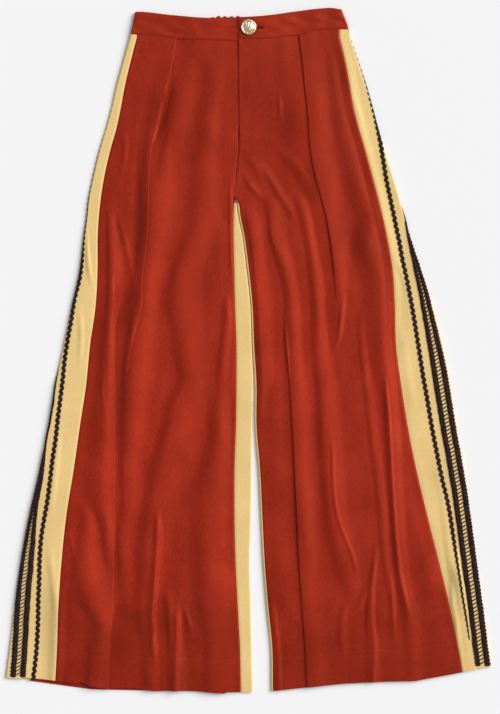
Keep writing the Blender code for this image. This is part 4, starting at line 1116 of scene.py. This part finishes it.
thread_paint = cloth_material(
    "rust_thread", (0.16, 0.012, 0.008), (0.24, 0.02, 0.012), 0.35 * MM, 1.0, 0.05 * MM, 0.55, 0.3,
    (1.0, 0.3, 0.15),
)


def plump(bm, place, heading, sizes, around=6, along=5):
    """A plump bar of thread: a ball drawn out to its half length, half width and half height."""
    shape = Matrix.Translation(place) @ Matrix.Rotation(heading, 4, "Z")
    shape = shape @ Matrix.Diagonal((*sizes, 1.0))
    bmesh.ops.create_uvsphere(bm, u_segments=around, v_segments=along, radius=1.0, matrix=shape)


def stitch(bm, place, heading, length, width):
    """One stitch at a place, lying along its heading."""
    plump(bm, place, heading, (length / 2, width / 2, width / 2))


def tops(piece):
    """A finder of a piece's upper face: the point under a place, or None."""
    from_above = Vector((0, 0, -1))

    def find(x, y):
        hit, where, _, _ = piece.ray_cast(Vector((x, y, 0.1)), from_above)
        return where if hit else None

    return find


bpy.context.view_layer.update()
bm = bmesh.new()
find = tops(bands["left"])
hole_middle = metres(sum(HOLE) / 2, BUTTON_DOWN, 0.0)
half_length = (HOLE[1] - HOLE[0]) / 2 * PIXEL
for i in range(HOLE_STITCHES):
    side = 1 if i % 2 else -1
    x = hole_middle[0] - half_length + (i // 2 + 0.5) * half_length / (HOLE_STITCHES / 4)
    top = find(x, hole_middle[1] + side * HOLE_EDGE)
    if top:
        stitch(bm, top + THREAD_LIFT, math.pi / 2, 2.3 * MM, 0.75 * MM)
for i in range(5):
    y = hole_middle[1] + (i - 2) * 0.55 * MM
    top = find(hole_middle[0] + half_length + 0.6 * MM, y)
    if top:
        stitch(bm, top + THREAD_LIFT, 0.0, 1.8 * MM, 0.7 * MM)
binding = finish_piece("buttonhole_thread", bm, thread_paint, sharp=180)

bm = bmesh.new()
find = tops(fronts["left"])
line = np.array([metres(across, down, 0.0) for across, down in FLY_LINE])
run = np.concatenate([[0], np.cumsum(np.linalg.norm(np.diff(line, axis=0), axis=1))])
for start in np.arange(0, run[-1] - STITCH, STITCH * 1.25):
    ends = [[np.interp(start + more, run, line[:, axis]) for axis in (0, 1)] for more in (0, STITCH)]
    top = find((ends[0][0] + ends[1][0]) / 2, (ends[0][1] + ends[1][1]) / 2)
    heading = math.atan2(ends[1][1] - ends[0][1], ends[1][0] - ends[0][0])
    if top:
        stitch(bm, top, heading, STITCH, THREAD)
fly_thread = finish_piece("fly_thread", bm, thread_paint, sharp=180)

for leg in LEGS:
    bm = bmesh.new()
    find = tops(fronts[leg])
    low, high = sorted(float(leg_line(leg, name, HEM_SEAMS)) for name in ("inner_seam", "outer_seam"))
    for across in np.arange(low + 2, high - 2, HEM_STITCH / PIXEL):
        down = float(row_down(leg, "front", np.array(across), np.array(HEM_DOWN - HEM_LINE)))
        x, y, _ = metres(across, down, 0.0)
        top = find(x, y)
        if top:
            stitch(bm, top, 0.0, 1.6 * MM, 0.4 * MM)
    finish_piece(f"hem_thread_{leg}", bm, thread_paint, sharp=180)


# The rickrack: a narrow woven braid that waves from side to side, sewn down each side panel. It
# comes round the outer fold from the back, and the tuck of the left panel covers its last stretch.
RICKRACK_WAVE = 8.9 * MM
RICKRACK_SWING = 1.15 * MM
RICKRACK_HALF = 2.6 * MM
RICKRACK_RISE = 1.3 * MM
RICKRACK_ROWS = 12
RICKRACK_SIDES = 8
TRIM_ON_TOP = 2.8 * MM
TUCK_TURNED = 585
TUCK_ROOM = 0.2 * MM
# How much of the rickrack's width shows: the edge of the tuck hides the rest.
RICKRACK_SHOWS = {
    "right": [(40, 1)],
    "left": [(525, 1), (565, 0.6), (640, 0.45)],
}
# How far in from the outer fold the braid runs, as down in pixels and inwards in millimetres.
RICKRACKS = {
    "right": [(40, -5), (140, -4), (215, -2), (240, -0.5), (260, 1.5), (280, 3), (300, 2.5),
     (320, 4.6), (340, 5.8), (360, 7.7), (380, 10.8), (400, 12.3), (420, 13.4), (440, 16), (460, 17.7),
     (480, 20.8), (500, 23.9), (540, 26), (560, 29), (580, 33), (600, 36), (620, 39.6), (660, 43.5),
     (680, 43.5)],
    "left": [(40, -4), (68, -2.5), (100, -1), (120, 0), (140, 3), (160, 7.7), (180, 12.3), (200, 14.6),
     (220, 17), (240, 19), (260, 24), (280, 27.5), (300, 31.5), (320, 34.8), (340, 37.5), (360, 39.4),
     (380, 40.3), (400, 39.6), (440, 38.5), (480, 36.5), (500, 33.5), (540, 31.6), (600, 30.6),
     (620, 29.3), (640, 28)],
}


def lay_on_side(leg, down, inwards, lift):
    """Points on a side panel's outer face: how far down, how far in from the fold, how far off it."""
    way = WAY[leg]
    edge = leg_line(leg, "outer_edge", down)
    high = edge_level(down)
    radius = (high - REST_LEVEL) / 2 + CLOTH / 2
    quarter = radius * math.pi / 2
    angle = np.clip(inwards / radius, -math.pi / 2, math.pi / 2)
    past = np.clip(np.abs(inwards) - quarter, 0, None)
    off = radius * (1 - np.cos(angle)) + past - lift * np.cos(angle)
    across = edge + way * off / PIXEL
    middle = (high + REST_LEVEL) / 2
    return metres(across, down, np.maximum(middle + (radius + lift) * np.sin(angle), 0.02 * MM))


def lay_trim(leg, bm):
    """Takes a trim drawn flat, as inwards, distance down and lift, and lays it on its side panel."""
    flat = np.array([vertex.co for vertex in bm.verts])
    placed = lay_on_side(leg, -flat[:, 1] / PIXEL, flat[:, 0], flat[:, 2])
    find = tops(side_panels[leg])
    for vertex, place, (inwards, _, lift) in zip(bm.verts, placed, flat):
        top = find(place[0], place[1]) if inwards > TRIM_ON_TOP else None
        if top:
            place[2] = top.z + lift
        vertex.co = place


def wrap_over_tuck(bm):
    """Turns what reaches past the tuck's folded edge down round that edge."""
    find = tops(side_panels["left"])
    for vertex in bm.verts:
        down = MIDDLE_DOWN - vertex.co.y / PIXEL
        edge = (read_off([row[:2] for row in TUCK_ROWS], down) - MIDDLE_ACROSS) * PIXEL
        past = vertex.co.x - edge - TUCK_ROOM
        if down > TUCK_TURNED and past > 0:
            vertex.co.x = edge + TUCK_ROOM + 0.6 * MM * math.sin(min(past / (2 * MM), 1) * math.pi)
            vertex.co.z = find(edge - 1.5 * MM, vertex.co.y).z - 0.3 * past + TUCK_ROOM


braid_yarn, tree, shader = new_paint("braid_yarn", Roughness=0.8, Specular_IOR_Level=0.15)
place = add_node(tree, "TexCoord").outputs["Object"]
fleck = add_node(tree, "TexNoise", Scale=650.0, Detail=3.0, Vector=place).outputs["Fac"]
tone = two_tones(tree, fleck, (0.5, (0.014, 0.005, 0.006)), (0.76, (0.10, 0.055, 0.045)))
feed(tree, shader.inputs["Base Color"], tone)
twist = add_node(
    tree, "TexWave", bands_direction="DIAGONAL", Scale=420.0, Distortion=3.0, Vector=place
)
spun = add_node(tree, "Bump", Distance=0.25 * MM, Strength=0.7, Height=twist.outputs["Fac"])
feed(tree, shader.inputs["Normal"], spun.outputs["Normal"])

for leg in LEGS:
    line = RICKRACKS[leg]
    start, end = line[0][0], line[-1][0]
    rows = int((end - start) * PIXEL / RICKRACK_WAVE * RICKRACK_ROWS)
    bm = bmesh.new()
    bmesh.ops.create_grid(bm, x_segments=RICKRACK_SIDES, y_segments=rows, size=1.0)
    down = np.linspace(start, end, rows + 1)
    phase = 2 * math.pi * (down - start) * PIXEL / RICKRACK_WAVE
    shows = read_off(RICKRACK_SHOWS[leg], down)
    middle = follow(line, down) * MM + RICKRACK_SWING * shows * np.sin(phase)
    tilt = 0.8 * np.cos(phase)
    for i, vertex in enumerate(bm.verts):
        row, column = divmod(i, RICKRACK_SIDES + 1)
        turn = 2 * math.pi * (column % RICKRACK_SIDES) / RICKRACK_SIDES
        sideways = RICKRACK_HALF * shows[row] * math.cos(turn)
        lift = RICKRACK_RISE * (1 + math.sin(turn)) / 2
        lean = sideways * math.sin(tilt[row]) * 0.5
        vertex.co = (middle[row] + sideways, -down[row] * PIXEL + lean, lift)
    bmesh.ops.remove_doubles(bm, verts=bm.verts[:], dist=1e-7)
    bmesh.ops.holes_fill(bm, edges=[edge for edge in bm.edges if edge.is_boundary], sides=RICKRACK_SIDES)
    lay_trim(leg, bm)
    if leg == "left":
        wrap_over_tuck(bm)
    bmesh.ops.recalc_face_normals(bm, faces=bm.faces[:])
    finish_piece(f"rickrack_braid_{leg}", bm, braid_yarn, sharp=80)
    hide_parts(f"rickrack_{leg}")


# The ladder braid: two knobbly crocheted rails joined by slanting rungs, with the yellow cloth
# showing between them. It runs beside the rickrack, nearer the back, and comes round the fold lower.
RAIL_MIDDLE = 7.5 * MM
RAIL_WIDTH = 10.8 * MM
RUNG_STEP = 5.7 * MM
RUNG_SLANT = 0.55
KNOT_SLANT = 0.35
# Half length, half width and half height of a rail's knots, of the core under them and of a rung.
KNOT = (RAIL_WIDTH / 2, 1.75 * MM, 0.95 * MM)
CORE = (RAIL_WIDTH / 2 - 0.3 * MM, 0.8 * RUNG_STEP, 0.6 * MM)
RUNG = (4.8 * MM, 0.9 * MM, 0.55 * MM)
# How narrow a rail is where the ladder is drawn together fully, and how uneven the crochet is: how
# far a step lies to one side in millimetres, and how plump it is.
DRAWN_IN_RAIL = 0.35
SWAY = 0.35
PLUMPNESS = (0.88, 1.12)
LADDERS = {
    "right": [(40, -26), (240, -22), (340, -9), (370, -2), (400, 1.6), (446, 2), (465, 4), (485, 5.4),
     (504, 6.2), (520, 7.2), (545, 8.4), (580, 10.2), (620, 14), (660, 18), (683, 19.5)],
    "left": [(40, -21), (120, -18), (180, -10), (200, -4), (215, -1), (230, 1.7), (260, 4.8),
     (290, 8.3), (320, 11.9), (360, 14), (440, 13.5), (540, 12.2), (620, 13.2), (668, 13.8),
     (674, 13.8)],
}
# How far the ladder is drawn together where it comes round the fold, as a share of its width.
LADDER_SHARE = {
    "right": [(446, 0), (465, 0.18), (485, 0.3), (504, 0.36), (520, 0.5), (545, 0.8), (570, 1)],
    "left": [(230, 0.02), (260, 0.34), (290, 0.57), (320, 0.73), (370, 1)],
}
WEB_MIDDLE = 2.0 * MM
HEM_AT_LADDER = {"right": 678.5, "left": 667.5}


def repeat(bm, step, count):
    """Copies the mesh's shape down a row of places a step apart, by doubling it over and over."""
    unit = bm.verts.layers.int.new("unit")
    made = 1
    while made < count:
        copied = bmesh.ops.duplicate(bm, geom=bm.verts[:] + bm.edges[:] + bm.faces[:])["geom"]
        moved = [item for item in copied if isinstance(item, bmesh.types.BMVert)]
        bmesh.ops.translate(bm, vec=(0, -made * step, 0), verts=moved)
        for vertex in moved:
            vertex[unit] += made
        made *= 2
    spare = [vertex for vertex in bm.verts if vertex[unit] >= count]
    bmesh.ops.delete(bm, geom=spare, context="VERTS")


chance = random.Random(7)
for leg in LEGS:
    line = LADDERS[leg]
    start, end = line[0][0], HEM_AT_LADDER[leg]
    bm = bmesh.new()
    for side in (-1, 1):
        for place, slant in ((-0.25, KNOT_SLANT), (-0.75, -KNOT_SLANT)):
            plump(bm, (side * RAIL_MIDDLE, place * RUNG_STEP, 0.8 * MM), slant, KNOT, 8)
        plump(bm, (side * RAIL_MIDDLE, -0.5 * RUNG_STEP, 0.45 * MM), 0.0, CORE, 8)
    plump(bm, (0, -0.25 * RUNG_STEP, 0.6 * MM), RUNG_SLANT * WAY[leg], RUNG, 6, 6)
    count = int((end - start) * PIXEL / RUNG_STEP)
    repeat(bm, RUNG_STEP, count)
    unit = bm.verts.layers.int["unit"]
    sway = [chance.uniform(-SWAY, SWAY) * MM for _ in range(count)]
    fullness = [chance.uniform(*PLUMPNESS) for _ in range(count)]
    for vertex in bm.verts:
        down = start - vertex.co.y / PIXEL
        share = float(read_off(LADDER_SHARE[leg], down))
        if abs(vertex.co.x) > WEB_MIDDLE:
            rail = math.copysign(RAIL_MIDDLE, vertex.co.x)
            vertex.co.x = rail * share + (vertex.co.x - rail) * (DRAWN_IN_RAIL + (1 - DRAWN_IN_RAIL) * share)
        else:
            vertex.co.x *= share
        vertex.co.x += float(follow(line, np.array(down))) * MM + sway[vertex[unit]]
        vertex.co.y -= start * PIXEL
        vertex.co.z *= fullness[vertex[unit]]
    lay_trim(leg, bm)
    bmesh.ops.recalc_face_normals(bm, faces=bm.faces[:])
    finish_piece(f"ladder_{leg}", bm, braid_yarn, sharp=80)
    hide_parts(f"ladder_braid_{leg}")
